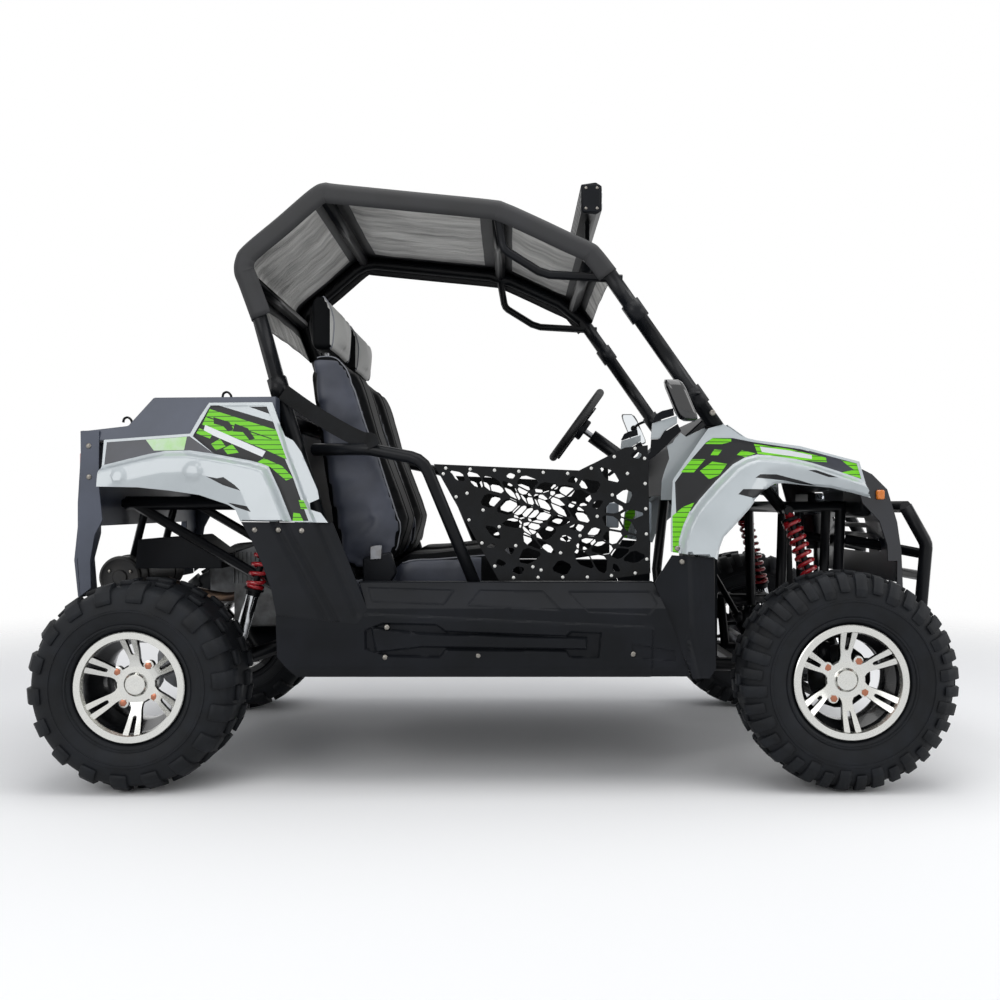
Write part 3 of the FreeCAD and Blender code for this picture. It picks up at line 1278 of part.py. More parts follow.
build_front_wheels()
build_rear_axle()
build_knuckles()
build_front_arms()
build_shocks()
build_rack()
build_steering_wheel()
CAGE_RIGHT = cage_side()
build_canopy()
build_cage(CAGE_RIGHT)
FRAME = welded_frame()
save("frame", FRAME)
build_swingarm()
build_engine()
build_sills()
build_side_panels()
build_fenders()
build_hood()
build_nose()
build_bumper(FRAME)
build_rear_body()
build_floor(FRAME)
build_dash()
build_pedals()
build_seats()
build_guards_and_nets(CAGE_RIGHT)
build_fittings(CAGE_RIGHT)
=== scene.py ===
import bmesh
import bpy
import math
import random
from mathutils import Matrix, Vector
from mathutils.bvhtree import BVHTree
from mathutils.geometry import delaunay_2d_cdt


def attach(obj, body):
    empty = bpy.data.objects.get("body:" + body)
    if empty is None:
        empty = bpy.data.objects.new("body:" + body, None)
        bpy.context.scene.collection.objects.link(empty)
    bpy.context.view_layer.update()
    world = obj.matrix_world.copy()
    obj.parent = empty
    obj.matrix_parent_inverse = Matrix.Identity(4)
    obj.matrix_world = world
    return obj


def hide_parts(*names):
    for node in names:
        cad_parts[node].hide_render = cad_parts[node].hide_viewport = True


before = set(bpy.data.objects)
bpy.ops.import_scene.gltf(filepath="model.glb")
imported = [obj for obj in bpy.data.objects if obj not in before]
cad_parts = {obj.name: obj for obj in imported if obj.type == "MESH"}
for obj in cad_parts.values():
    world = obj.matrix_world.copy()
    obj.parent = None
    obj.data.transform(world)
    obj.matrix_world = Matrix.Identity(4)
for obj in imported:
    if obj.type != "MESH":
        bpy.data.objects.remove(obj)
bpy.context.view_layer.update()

# The studio: a level camera on the vehicle's right side, three metres from its middle plane,
# a pale floor that fades into a white surround, and three large soft lamps.
scene = bpy.context.scene
scene.view_settings.view_transform = "Standard"


def placed(name, data):
    """A new object in the scene."""
    made = bpy.data.objects.new(name, data)
    scene.collection.objects.link(made)
    return made


lens = bpy.data.cameras.new("camera")
lens.sensor_width = 36.0
lens.lens = 35.64
lens.shift_x = -0.010
lens.shift_y = 0.005
camera = placed("camera", lens)
camera.location = (0.007, -2.965, 0.695)
camera.rotation_euler = (math.pi / 2, 0, 0)
scene.camera = camera


def hue(code):
    """An sRGB hex colour as linear red, green, blue and alpha."""
    parts = [int(code[i : i + 2], 16) / 255 for i in (1, 3, 5)]
    return [p / 12.92 if p <= 0.04045 else ((p + 0.055) / 1.055) ** 2.4 for p in parts] + [1.0]


def add(tree, kind, values=(), **settings):
    """A new node with its settings, and its inputs set to values or linked to sockets."""
    made = tree.nodes.new(kind)
    for key, value in settings.items():
        setattr(made, key, value)
    for key, value in dict(values).items():
        if isinstance(value, bpy.types.NodeSocket):
            tree.links.new(value, made.inputs[key])
        else:
            made.inputs[key].default_value = value
    return made


def surface(name, colour, roughness, metallic=0.0, **more):
    """A material of that name with its tree and its shader, ready for the nodes of its pattern."""
    made = bpy.data.materials.new(name)
    made.use_nodes = True
    tree = made.node_tree
    shader = tree.nodes["Principled BSDF"]
    shader.inputs["Base Color"].default_value = hue(colour)
    shader.inputs["Roughness"].default_value = roughness
    shader.inputs["Metallic"].default_value = metallic
    for key, value in more.items():
        shader.inputs[key.replace("_", " ")].default_value = value
    return made, tree, shader


def built(points, faces, coat=None):
    """A mesh of points and faces in one coat."""
    mesh = bpy.data.meshes.new("part")
    mesh.from_pydata(points, [], faces)
    if coat:
        mesh.materials.append(coat)
    return mesh


world = bpy.data.worlds.new("studio")
world.use_nodes = True
scene.world = world
tree = world.node_tree
tree.nodes.clear()
path = add(tree, "ShaderNodeLightPath").outputs
rays = {0: path["Is Glossy Ray"], 1: path["Is Transmission Ray"]}
rays = {0: path["Is Camera Ray"], 1: add(tree, "ShaderNodeMath", rays, operation="ADD").outputs[0]}
seen = add(tree, "ShaderNodeMath", rays, operation="ADD", use_clamp=True)
dim = add(tree, "ShaderNodeBackground", {"Color": hue("#F4F6FA"), "Strength": 0.62})
white = add(tree, "ShaderNodeBackground", {"Color": hue("#FFFFFF"), "Strength": 1.0})
both = add(tree, "ShaderNodeMixShader", {0: seen.outputs[0], 1: dim.outputs[0], 2: white.outputs[0]})
add(tree, "ShaderNodeOutputWorld", {"Surface": both.outputs[0]})

floor_r, floor_z = 5.0, -0.0012
floor_paint, tree, shader = surface("matt_studio_floor", "#F6F6F6", 0.9, Specular_IOR_Level=0.1)
place = add(tree, "ShaderNodeTexCoord")
reach = add(tree, "ShaderNodeVectorMath", {0: place.outputs["Object"]}, operation="LENGTH")
fade = add(
    tree, "ShaderNodeMapRange", {"Value": reach.outputs["Value"], "From Min": 1.9, "From Max": 4.5},
    interpolation_type="SMOOTHSTEP",
)
clear = add(tree, "ShaderNodeBsdfTransparent")
blend = add(tree, "ShaderNodeMixShader", {0: fade.outputs[0], 1: shader.outputs[0], 2: clear.outputs[0]})
tree.links.new(blend.outputs[0], tree.nodes["Material Output"].inputs["Surface"])
angles = [math.radians(a) for a in range(0, 360, 6)]
edge = [(floor_r * math.cos(a), floor_r * math.sin(a), floor_z) for a in angles]
studio_floor = placed("studio_floor", built(edge, [list(range(len(edge)))], floor_paint))

for name, stand, aim, size, power in (
    ("lamp_top", (0.2, -0.6, 3.6), (0, 0, 0.6), 3.2, 62),
    ("lamp_side", (-2.4, -3.4, 2.2), (0, 0, 0.6), 2.2, 40),
    ("lamp_front", (3.6, -1.4, 1.8), (0.3, 0, 0.6), 2.0, 30),
):
    lamp = bpy.data.lights.new(name, "AREA")
    lamp.size = size
    lamp.energy = power
    lit = placed(name, lamp)
    lit.location = stand
    lit.rotation_euler = (Vector(aim) - Vector(stand)).to_track_quat("-Z", "Y").to_euler()


# Lower frame, swing arm, suspension arms, knuckles and rack: welded steel tube and plate, powder
# coated satin black all over. The CAD tubes keep their shape here, with round shading.
def finish(name, mesh, body, node=None, sharp=40.0):
    """A finished piece on its body, shaded round up to an angle, in place of a CAD node."""
    mesh.shade_smooth()
    mesh.set_sharp_from_angle(angle=math.radians(sharp))
    made = placed(name, mesh)
    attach(made, body)
    if node:
        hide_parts(node)
    return made


def shape_of(mesh, merge=0.0):
    """The editable shape of a mesh, its doubles merged within a distance."""
    shape = bmesh.new()
    shape.from_mesh(mesh)
    if merge:
        bmesh.ops.remove_doubles(shape, verts=shape.verts, dist=merge)
    return shape


def mesh_of(shape, *coats):
    """The mesh of an edited shape, in its coats."""
    mesh = bpy.data.meshes.new("part")
    shape.to_mesh(mesh)
    shape.free()
    for coat in filter(None, coats):
        mesh.materials.append(coat)
    return mesh


def pressed(shader, height, depth, strength=0.6):
    """The height of a pattern pressed into a finish, its depth in metres."""
    tree = shader.id_data
    bump = add(tree, "ShaderNodeBump", {"Height": height, "Distance": depth, "Strength": strength})
    tree.links.new(bump.outputs["Normal"], shader.inputs["Normal"])


def patched(shader, spot, colour, other, size, low=0.35, high=0.75):
    """Two tones of a finish mixed in soft patches of a size in metres."""
    tree = shader.id_data
    patches = add(tree, "ShaderNodeTexNoise", {"Vector": spot, "Scale": 1 / size, "Detail": 5.0})
    ramp = {"Value": patches.outputs["Fac"], "From Min": low, "From Max": high}
    ramp = add(tree, "ShaderNodeMapRange", ramp)
    mix = add(tree, "ShaderNodeMix", {0: ramp.outputs[0], 6: hue(colour), 7: hue(other)}, data_type="RGBA")
    tree.links.new(mix.outputs[2], shader.inputs["Base Color"])


def material(name, colour, roughness, metallic=0.0, peel=(0.004, 0.00003), other=(), cells=False, **more):
    """A finish with a fine peel of a size and depth, and another tone in patches where one is given."""
    made, tree, shader = surface(name, colour, roughness, metallic, **more)
    spot = add(tree, "ShaderNodeTexCoord").outputs["Object"]
    size, depth, detail = (*peel, 4.0)[:3]
    if cells:
        height = add(tree, "ShaderNodeTexVoronoi", {"Vector": spot, "Scale": 1 / size}).outputs["Distance"]
    else:
        bumps = {"Vector": spot, "Scale": 1 / size, "Detail": detail}
        height = add(tree, "ShaderNodeTexNoise", bumps).outputs["Fac"]
    pressed(shader, height, depth)
    if other:
        patched(shader, spot, colour, *other)
    return made


# Satin powder coat on steel: a fine orange peel about a millimetre across, slightly dusty on top.
frame_coat = material(
    "satin_powder_coat", "#0C0D0F", 0.33, 0.0, (0.0016, 0.00006), ("#15171B", 0.11), Specular_IOR_Level=0.16
)
# Bare steel of discs, hubs, live axle and tie rods: turned and then ground, grey with fine rings.
bare_steel = material("turned_steel", "#85878B", 0.34, 1.0, (0.0022, 0.00004), ("#6A6560", 0.03, 0.45, 0.8))
for node, name, body, coat in (
    ("frame", "welded_frame", "chassis", frame_coat),
    ("swingarm", "rear_swing_arm", "chassis", frame_coat),
    ("arms_front", "front_wishbones", "chassis", frame_coat),
    ("rack_housing", "steering_rack_housing", "chassis", frame_coat),
    ("front_bumper", "tube_bumper", "chassis", frame_coat),
    ("cage_left", "cage_tube_left", "chassis", frame_coat),
    ("cage_right", "cage_tube_right", "chassis", frame_coat),
    ("cage_cross_tubes", "cage_cross_bars", "chassis", frame_coat),
    ("side_guards", "hip_bars", "chassis", frame_coat),
    ("steering_column", "column_tube", "chassis", frame_coat),
    ("knuckle_left", "steering_knuckle_left", "knuckle_left", frame_coat),
    ("knuckle_right", "steering_knuckle_right", "knuckle_right", frame_coat),
    ("axle_rear", "live_axle", "rear_axle", bare_steel),
    ("hub_front_left", "front_hub_left", "wheel_front_left", bare_steel),
    ("hub_front_right", "front_hub_right", "wheel_front_right", bare_steel),
    ("tie_rods", "tie_rods_and_rack", "steering_rack", bare_steel),
):
    tube = mesh_of(shape_of(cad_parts[node].data, 2e-5), coat)
    finish(name, tube, body, node, 62.0)


# Tyres: moulded rubber on ten inch rims, with dust and mould bloom in soft patches. The front ones
# carry four rows of blocks, the shoulder ones wrapped over the edge; the rear ones are squarer.
rubber = material(
    "moulded_rubber", "#0E1013", 0.62, 0.0, (0.0035, 0.00018, 6.0), ("#16191E", 0.045),
    Specular_IOR_Level=0.22,
)


def lathe(profile, steps, coat=None):
    """A closed outline of (y, radius) points turned about the Y axis."""
    points, quads = [], []
    count = len(profile)
    for k in range(steps):
        a = math.tau * k / steps
        points += [(max(r, 0.0002) * math.sin(a), y, max(r, 0.0002) * math.cos(a)) for y, r in profile]
        m = (k + 1) % steps
        for i in range(count):
            j = (i + 1) % count
            quads.append((k * count + i, m * count + i, m * count + j, k * count + j))
    return built(points, quads, coat)


def smooth_line(points, steps=6):
    """A Catmull-Rom curve through the points."""
    spots = [Vector(p) for p in points]
    spots = spots[:1] + spots + spots[-1:]
    line = []
    for a, b, c, d in zip(spots, spots[1:], spots[2:], spots[3:]):
        for s in range(steps):
            t = s / steps
            bend = (c - a) * t + (2 * a - 5 * b + 4 * c - d) * t * t + (3 * b - a - 3 * c + d) * t**3
            line.append(0.5 * (2 * b + bend))
    line.append(spots[-1])
    return line


def repeat_tree(name, inputs, lay_out):
    """A tree that puts copies where lay_out says, makes them real and gives them a coat."""
    tree = bpy.data.node_groups.new(name, "GeometryNodeTree")
    tree.is_modifier = True
    face = tree.interface
    sockets = {
        key: face.new_socket(name=key, in_out="INPUT", socket_type="NodeSocket" + kind)
        for key, kind in (("Geometry", "Geometry"), *inputs, ("Coat", "Material"))
    }
    face.new_socket(name="Geometry", in_out="OUTPUT", socket_type="NodeSocketGeometry")
    given = add(tree, "NodeGroupInput").outputs
    copies = add(tree, "GeometryNodeInstanceOnPoints", lay_out(tree, given))
    real = add(tree, "GeometryNodeRealizeInstances", {0: copies.outputs[0]})
    coated = add(tree, "GeometryNodeSetMaterial", {"Geometry": real.outputs[0], "Material": given["Coat"]})
    add(tree, "NodeGroupOutput", {0: coated.outputs[0]})
    return tree, sockets


def round_the_axle(tree, given):
    """Copies of the modifier's own mesh, turned about the Y axis."""
    spots = add(tree, "GeometryNodeMeshLine", {"Count": given["Count"], "Offset": (0, 0, 0)})
    index = add(tree, "GeometryNodeInputIndex")
    share = add(tree, "ShaderNodeMath", {0: index.outputs[0], 1: given["Count"]}, operation="DIVIDE")
    turn = {0: share.outputs[0], 1: math.tau, 2: given["Phase"]}
    turn = add(tree, "ShaderNodeMath", turn, operation="MULTIPLY_ADD")
    spin = add(tree, "ShaderNodeCombineXYZ", {"Y": turn.outputs[0]})
    return {"Points": spots.outputs[0], "Instance": given["Geometry"], "Rotation": spin.outputs[0]}


ring = repeat_tree("around_the_axle", (("Count", "Int"), ("Phase", "Float")), round_the_axle)


def plain(holder):
    """The plain mesh of an object as its modifiers leave it, and the object is gone."""
    out = bpy.data.meshes.new_from_object(holder.evaluated_get(bpy.context.evaluated_depsgraph_get()))
    bpy.data.objects.remove(holder)
    return out


def grown(mesh, repeat, **values):
    """What a tree of copies makes of a mesh, with the tree's inputs set."""
    tree, sockets = repeat
    holder = placed("holder", mesh)
    growth = holder.modifiers.new("growth", "NODES")
    growth.node_group = tree
    for key, value in values.items():
        growth[sockets[key].identifier] = value
    return plain(holder)


def solid_of(outline, depth, bevel=0.0, coat=None):
    """A mesh of an outline of points pushed along a vector, with small chamfers."""
    shape = bmesh.new()
    base = shape.faces.new([shape.verts.new(p) for p in outline])
    pushed = bmesh.ops.extrude_face_region(shape, geom=[base])["geom"]
    ends = [g for g in pushed if isinstance(g, bmesh.types.BMVert)]
    bmesh.ops.translate(shape, verts=ends, vec=Vector(depth))
    bmesh.ops.recalc_face_normals(shape, faces=shape.faces)
    if bevel:
        bmesh.ops.bevel(shape, geom=list(shape.edges), offset=bevel, segments=1, affect="EDGES")
    return mesh_of(shape, coat)


def joined(meshes, shift=(0, 0, 0), mirror=False):
    """One mesh of several, moved and, for the left side, mirrored with its faces turned back."""
    shape = bmesh.new()
    coats = []
    for mesh in meshes:
        first = len(shape.faces)
        shape.from_mesh(mesh)
        shape.faces.ensure_lookup_table()
        for face in shape.faces[first:]:
            coat = mesh.materials[face.material_index] if mesh.materials else None
            if coat and coat not in coats:
                coats.append(coat)
            face.material_index = coats.index(coat) if coat else 0
    bmesh.ops.translate(shape, verts=shape.verts, vec=Vector(shift))
    if mirror:
        bmesh.ops.scale(shape, verts=shape.verts, vec=(1, -1, 1))
        bmesh.ops.reverse_faces(shape, faces=shape.faces)
    return mesh_of(shape, *coats)


def outward(mesh, merge=0.0):
    """The mesh with its faces turned outwards, after its doubles are merged."""
    shape = shape_of(mesh, merge)
    bmesh.ops.recalc_face_normals(shape, faces=shape.faces)
    shape.to_mesh(mesh)
    shape.free()
    return mesh


def tyre(radius, width, lip, blocks, rear_pattern):
    """Carcass, sidewall ribs and tread blocks of one tyre about the Y axis, its outer side towards -Y."""
    half = width / 2
    bead_y = half - (0.028 if rear_pattern else 0.024)
    root = radius - 0.0115
    skin = [
        (bead_y - 0.004, lip - 0.011), (bead_y, lip + 0.002), (bead_y + 0.009, lip + 0.008),
        (half - 0.006, lip + 0.026), (half - 0.001, lip + 0.046), (half - 0.002, radius - 0.064),
        (half - 0.009, radius - 0.040), (half - 0.024, radius - 0.021), (half * 0.55, root - 0.001),
        (0, root),
    ]
    outer = smooth_line([(y, r, 0) for y, r in skin], 4)
    line = [(p.x, p.y) for p in outer] + [(-p.x, p.y) for p in reversed(outer[:-1])]
    parts = [lathe(line, 96, rubber)]
    pitch = math.tau * radius / blocks
    shoulder = [
        (half * 0.50, root - 0.004), (half * 0.50, radius - 0.0015), (half * 0.74, radius - 0.006),
        (half - 0.013, radius - 0.019), (half - 0.0005, radius - 0.040),
        (half - 0.001, radius - (0.050 if rear_pattern else 0.060)), (half - 0.010, radius - 0.050),
        (half * 0.74, root - 0.022),
    ]
    short = [(y, r if r > radius - 0.045 else r + 0.012) for y, r in shoulder]

    def flat_block(near, far):
        """The section of a block on the crown, between two shares of the half width."""
        return [
            (half * near, root - 0.004), (half * near, radius - 0.0008), (half * far, radius - 0.001),
            (half * far, root - 0.004),
        ]

    rows = [(shoulder, 0.60, 0.0), (short, 0.52, 1.0), (flat_block(0.06, 0.40), 0.62, 0.5)]
    if rear_pattern:
        rows = [(shoulder, 0.86, 0.0), (flat_block(0.20, 0.46), 0.80, 1.0)]
    for outline, share, step in rows:
        length = pitch * share
        block = solid_of([(-length / 2, y, r) for y, r in outline], (length, 0, 0), 0.0016)
        for side in (1, -1):
            own = joined([block], mirror=side < 0)
            phase = math.tau * (step + (0.5 if side < 0 else 0)) / blocks
            parts.append(grown(own, ring, Count=blocks // 2, Phase=phase, Coat=rubber))
    # A moulded rib on the sidewall, and the rim guard above the bead.
    for r_mid, proud in ((lip + 0.016, 0.0035), (radius - 0.070, 0.0022)):
        near = min(outer, key=lambda p: abs(p.y - r_mid))
        rib = [(-0.002, -0.004), (proud, -0.002), (proud, 0.002), (-0.002, 0.004)]
        parts += [lathe([((near.x + y) * side, near.y + r) for y, r in rib], 96, rubber) for side in (1, -1)]
    return outward(joined(parts))


# Rims: cast aluminium, its outer face machined bright and the pockets left in black paint. Each has
# six pairs of slim spokes round a dished centre with a plain cap, and four coppery nuts.
machined, tree, shader = surface("machined_aluminium", "#D2D2CE", 0.24, 1.0)
spot = add(tree, "ShaderNodeTexCoord").outputs["Object"]
# The cutter's lines, a few millimetres long, break the shine up.
lines = add(tree, "ShaderNodeTexNoise", {"Vector": spot, "Scale": 420.0, "Detail": 3.0})
pressed(shader, lines.outputs["Fac"], 0.00005, 0.5)
soft = add(tree, "ShaderNodeMapRange", {"Value": lines.outputs["Fac"], "To Min": 0.18, "To Max": 0.34})
tree.links.new(soft.outputs[0], shader.inputs["Roughness"])
pocket_paint = material("gloss_black_wheel_paint", "#0D0E10", 0.22, peel=(0.003, 0.00003), Coat_Weight=0.4)
copper = material("copper_flashed_nut", "#A8705A", 0.35, 1.0, (0.002, 0.0001))


def inside(point, outline):
    """Whether a plane point lies in a closed outline."""
    x, z = point[0], point[1]
    hit = False
    for a, b in zip(outline, outline[1:] + outline[:1]):
        if (a[1] > z) != (b[1] > z) and x < (b[0] - a[0]) * (z - a[1]) / (b[1] - a[1]) + a[0]:
            hit = not hit
    return hit


def rim(lip, bead, width, dish, spokes=6):
    """One rim about the Y axis, its outer face at Y 0 and the rest towards +Y."""
    well = bead - 0.020
    outer = [
        (0.0018, lip - 0.0006), (0.008, lip - 0.001), (0.009, bead - 0.0005), (0.30 * width, bead - 0.001),
        (0.40 * width, well), (0.62 * width, well), (width - 0.009, bead - 0.001),
        (width - 0.008, lip - 0.001), (width - 0.001, lip - 0.001), (width - 0.001, bead - 0.006),
        (0.62 * width, well - 0.005), (0.40 * width, well - 0.005), (0.26 * width, bead - 0.006),
        (0.012, bead - 0.005),
    ]
    bright = [
        (0.0001, lip - 0.0022), (0.0016, lip), (0.0024, lip), (0.0026, bead - 0.004), (0.0122, bead - 0.008),
        (0.0008, bead - 0.0045),
    ]
    tip = bead - 0.003
    hub = 0.040

    def face_y(r):
        t = min(max((r - 0.046) / (tip - 0.046), 0), 1)
        return dish + (0.0035 - dish) * (t**1.35)

    # One pair of spokes in plan: a trunk that splits round a long slot.
    plan = [
        (-0.019, hub), (-0.013, 0.052), (-0.0125, 0.062), (-0.0165, 0.085), (-0.0215, tip),
        (-0.0075, tip), (-0.0062, tip - 0.006), (-0.0048, 0.078), (-0.0028, 0.074),
    ]
    plan += [(-x, r) for x, r in reversed(plan)]
    shape = bmesh.new()
    tops, backs = [], []
    for x, r in plan:
        y = face_y(math.hypot(x, r))
        tops.append(shape.verts.new((x, y, r)))
        backs.append(shape.verts.new((x * 1.06, y + 0.013, r)))
    count = len(plan)
    flat = [Vector(p) for p in plan]
    spread = delaunay_2d_cdt(flat, [(i, (i + 1) % count) for i in range(count)], [], 1, 1e-6)
    for tri in spread[2]:
        middle = sum((spread[0][i] for i in tri), Vector((0, 0))) / 3
        origin = [spread[3][i][0] for i in tri]
        if inside(middle, flat):
            shape.faces.new([tops[i] for i in origin])
            shape.faces.new([backs[i] for i in reversed(origin)]).material_index = 1
    for i in range(count):
        j = (i + 1) % count
        shape.faces.new((tops[j], tops[i], backs[i], backs[j])).material_index = 1
    bmesh.ops.recalc_face_normals(shape, faces=shape.faces)
    brink = [e for e in shape.edges if len({f.material_index for f in e.link_faces}) == 2]
    brink = [e for e in brink if all(v in tops for v in e.verts)]
    bmesh.ops.bevel(shape, geom=brink, offset=0.0009, segments=2, affect="EDGES")
    pair = mesh_of(shape)
    parts = [lathe(outer, 96, pocket_paint), lathe(bright, 96, machined)]
    centre = [
        (dish + 0.020, 0.0), (dish + 0.020, 0.050), (dish + 0.004, 0.050), (dish - 0.0005, 0.0465),
        (dish - 0.001, 0.030), (dish - 0.004, 0.026), (dish - 0.0075, 0.024), (dish - 0.0085, 0.018),
        (dish - 0.0075, 0.010), (dish - 0.0075, 0.0),
    ]
    parts.append(lathe(centre, 48, machined))
    for which, coat in ((0, machined), (1, pocket_paint)):
        half = shape_of(pair)
        others = [f for f in half.faces if f.material_index != which]
        bmesh.ops.delete(half, geom=others, context="FACES")
        parts.append(grown(mesh_of(half), ring, Count=spokes, Phase=math.radians(-2), Coat=coat))
    bolt_circle = Matrix.Translation((0, 0, 0.055))
    for r, y0, y1, sides, coat in (
        (0.0125, dish - 0.001, dish + 0.016, 20, machined),
        (0.0090, dish - 0.006, dish + 0.002, 6, copper),
    ):
        nut = lathe([(y0, 0), (y0, r * 0.62), (y0 + 0.0015, r), (y1, r), (y1, 0)], sides)
        nut.transform(bolt_circle)
        parts.append(grown(nut, ring, Count=4, Phase=math.radians(34), Coat=coat))
    return outward(joined(parts), 2e-5)


front_axle = Vector((0.830, 0, 0.267))
rear_axle = Vector((-0.909, 0, 0.256))
for name, mesh, axle, y, body, node, sharp in (
    ("front_tyre", tyre(0.267, 0.178, 0.14, 36, False), front_axle, -0.51, "wheel_front_", "tyre_front_", 50),
    ("front_rim", rim(0.140, 0.127, 0.150, 0.044), front_axle, -0.585, "wheel_front_", "rim_front_", 35),
    ("rear_tyre", tyre(0.256, 0.254, 0.135, 36, True), rear_axle, -0.483, "rear_axle", "tyres_rear", 50),
    ("rear_rim", rim(0.135, 0.122, 0.214, 0.050), rear_axle, -0.590, "rear_axle", "rims_rear", 35),
):
    for label in ("right", "left"):
        own = label if axle is front_axle else ""
        piece = joined([mesh], (axle.x, y, axle.z), label == "left")
        finish(f"{name}_{label}", piece, body + own, node + own, sharp)


# Front fenders and hood: gloss injection-moulded plastic, pearl white, with a swollen wheel arch and
# printed film in black and lime laid into the flat field above it. Screwed to the frame underneath.
# The moulding is a touch greyer in broad clouds, where road dust has settled.
body_white = material(
    "gloss_pearl_plastic", "#B1B8BB", 0.20, peel=(0.0045, 0.00004), other=("#A2A9AC", 0.16, 0.45, 0.85),
    Coat_Weight=0.6, Coat_Roughness=0.06,
)
film_black = material("printed_film_black", "#0D0E10", 0.42, other=("#17181C", 0.07), Specular_IOR_Level=0.3)
film_blue = material("printed_film_blue_black", "#1B1E27", 0.30, other=("#2D313E", 0.09))
film_pale = material("printed_film_pale_lime", "#8FC66A", 0.26, other=("#B4C2B4", 0.05), Coat_Weight=0.4)
film_white = material("printed_film_white", "#CFD2D4", 0.30, Coat_Weight=0.3)
film_green = material("printed_film_lime", "#6FC41F", 0.40, Specular_IOR_Level=0.3)
# Thin darker print lines run along the lime fields, about a centimetre apart.
tree = film_green.node_tree
shader = tree.nodes["Principled BSDF"]
spot = add(tree, "ShaderNodeTexCoord").outputs["Object"]
lines = {"Vector": spot, "Scale": 26.0, "Distortion": 0.6}
lines = add(tree, "ShaderNodeTexWave", lines, wave_type="BANDS", bands_direction="Z")
ramp = add(tree, "ShaderNodeMapRange", {"Value": lines.outputs["Fac"], "From Min": 0.03, "From Max": 0.12})
mix = add(tree, "ShaderNodeMix", {0: ramp.outputs[0], 6: hue("#2C5410"), 7: hue("#6DC41C")}, data_type="RGBA")
tree.links.new(mix.outputs[2], shader.inputs["Base Color"])
# Plain black moulded plastic, with the fine leather grain that a textured mould leaves.
black_plastic = material(
    "black_moulded_plastic", "#101215", 0.46, peel=(0.0014, 0.00009), other=("#181A1F", 0.13),
    Specular_IOR_Level=0.13,
)


def mm(*flat):
    """The points of an outline or a profile, from their millimetres two by two."""
    return [(a / 1000, b / 1000) for a, b in zip(flat[::2], flat[1::2])]


def plane_y(first, second, third):
    """The Y of a leaning side plane as a function of X and Z."""
    first, second, third = Vector(first), Vector(second), Vector(third)
    normal = (second - first).cross(third - first)
    return lambda x, z: first.y - (normal.x * (x - first.x) + normal.z * (z - first.z)) / normal.y


def edge_gap(point, line, closed=True):
    """The distance from a plane point to an outline or a line."""
    best = 9.0
    ends = zip(line, line[1:] + line[:1]) if closed else zip(line, line[1:])
    for a, b in ends:
        dx, dz = b[0] - a[0], b[1] - a[1]
        t = ((point[0] - a[0]) * dx + (point[1] - a[1]) * dz) / (dx * dx + dz * dz)
        t = min(max(t, 0), 1)
        best = min(best, math.hypot(point[0] - a[0] - t * dx, point[1] - a[1] - t * dz))
    return best


def ease(t):
    t = min(max(t, 0), 1)
    return t * t * (3 - 2 * t)


def beside(line, distance):
    """A line that runs at a distance to the right of another, as seen along it."""
    out = []
    for spot, before, after in zip(line, line[:1] + line, line[1:] + line[-1:]):
        dx, dz = after[0] - before[0], after[1] - before[1]
        size = math.hypot(dx, dz)
        out.append((spot[0] + dz / size * distance, spot[1] - dx / size * distance))
    return out


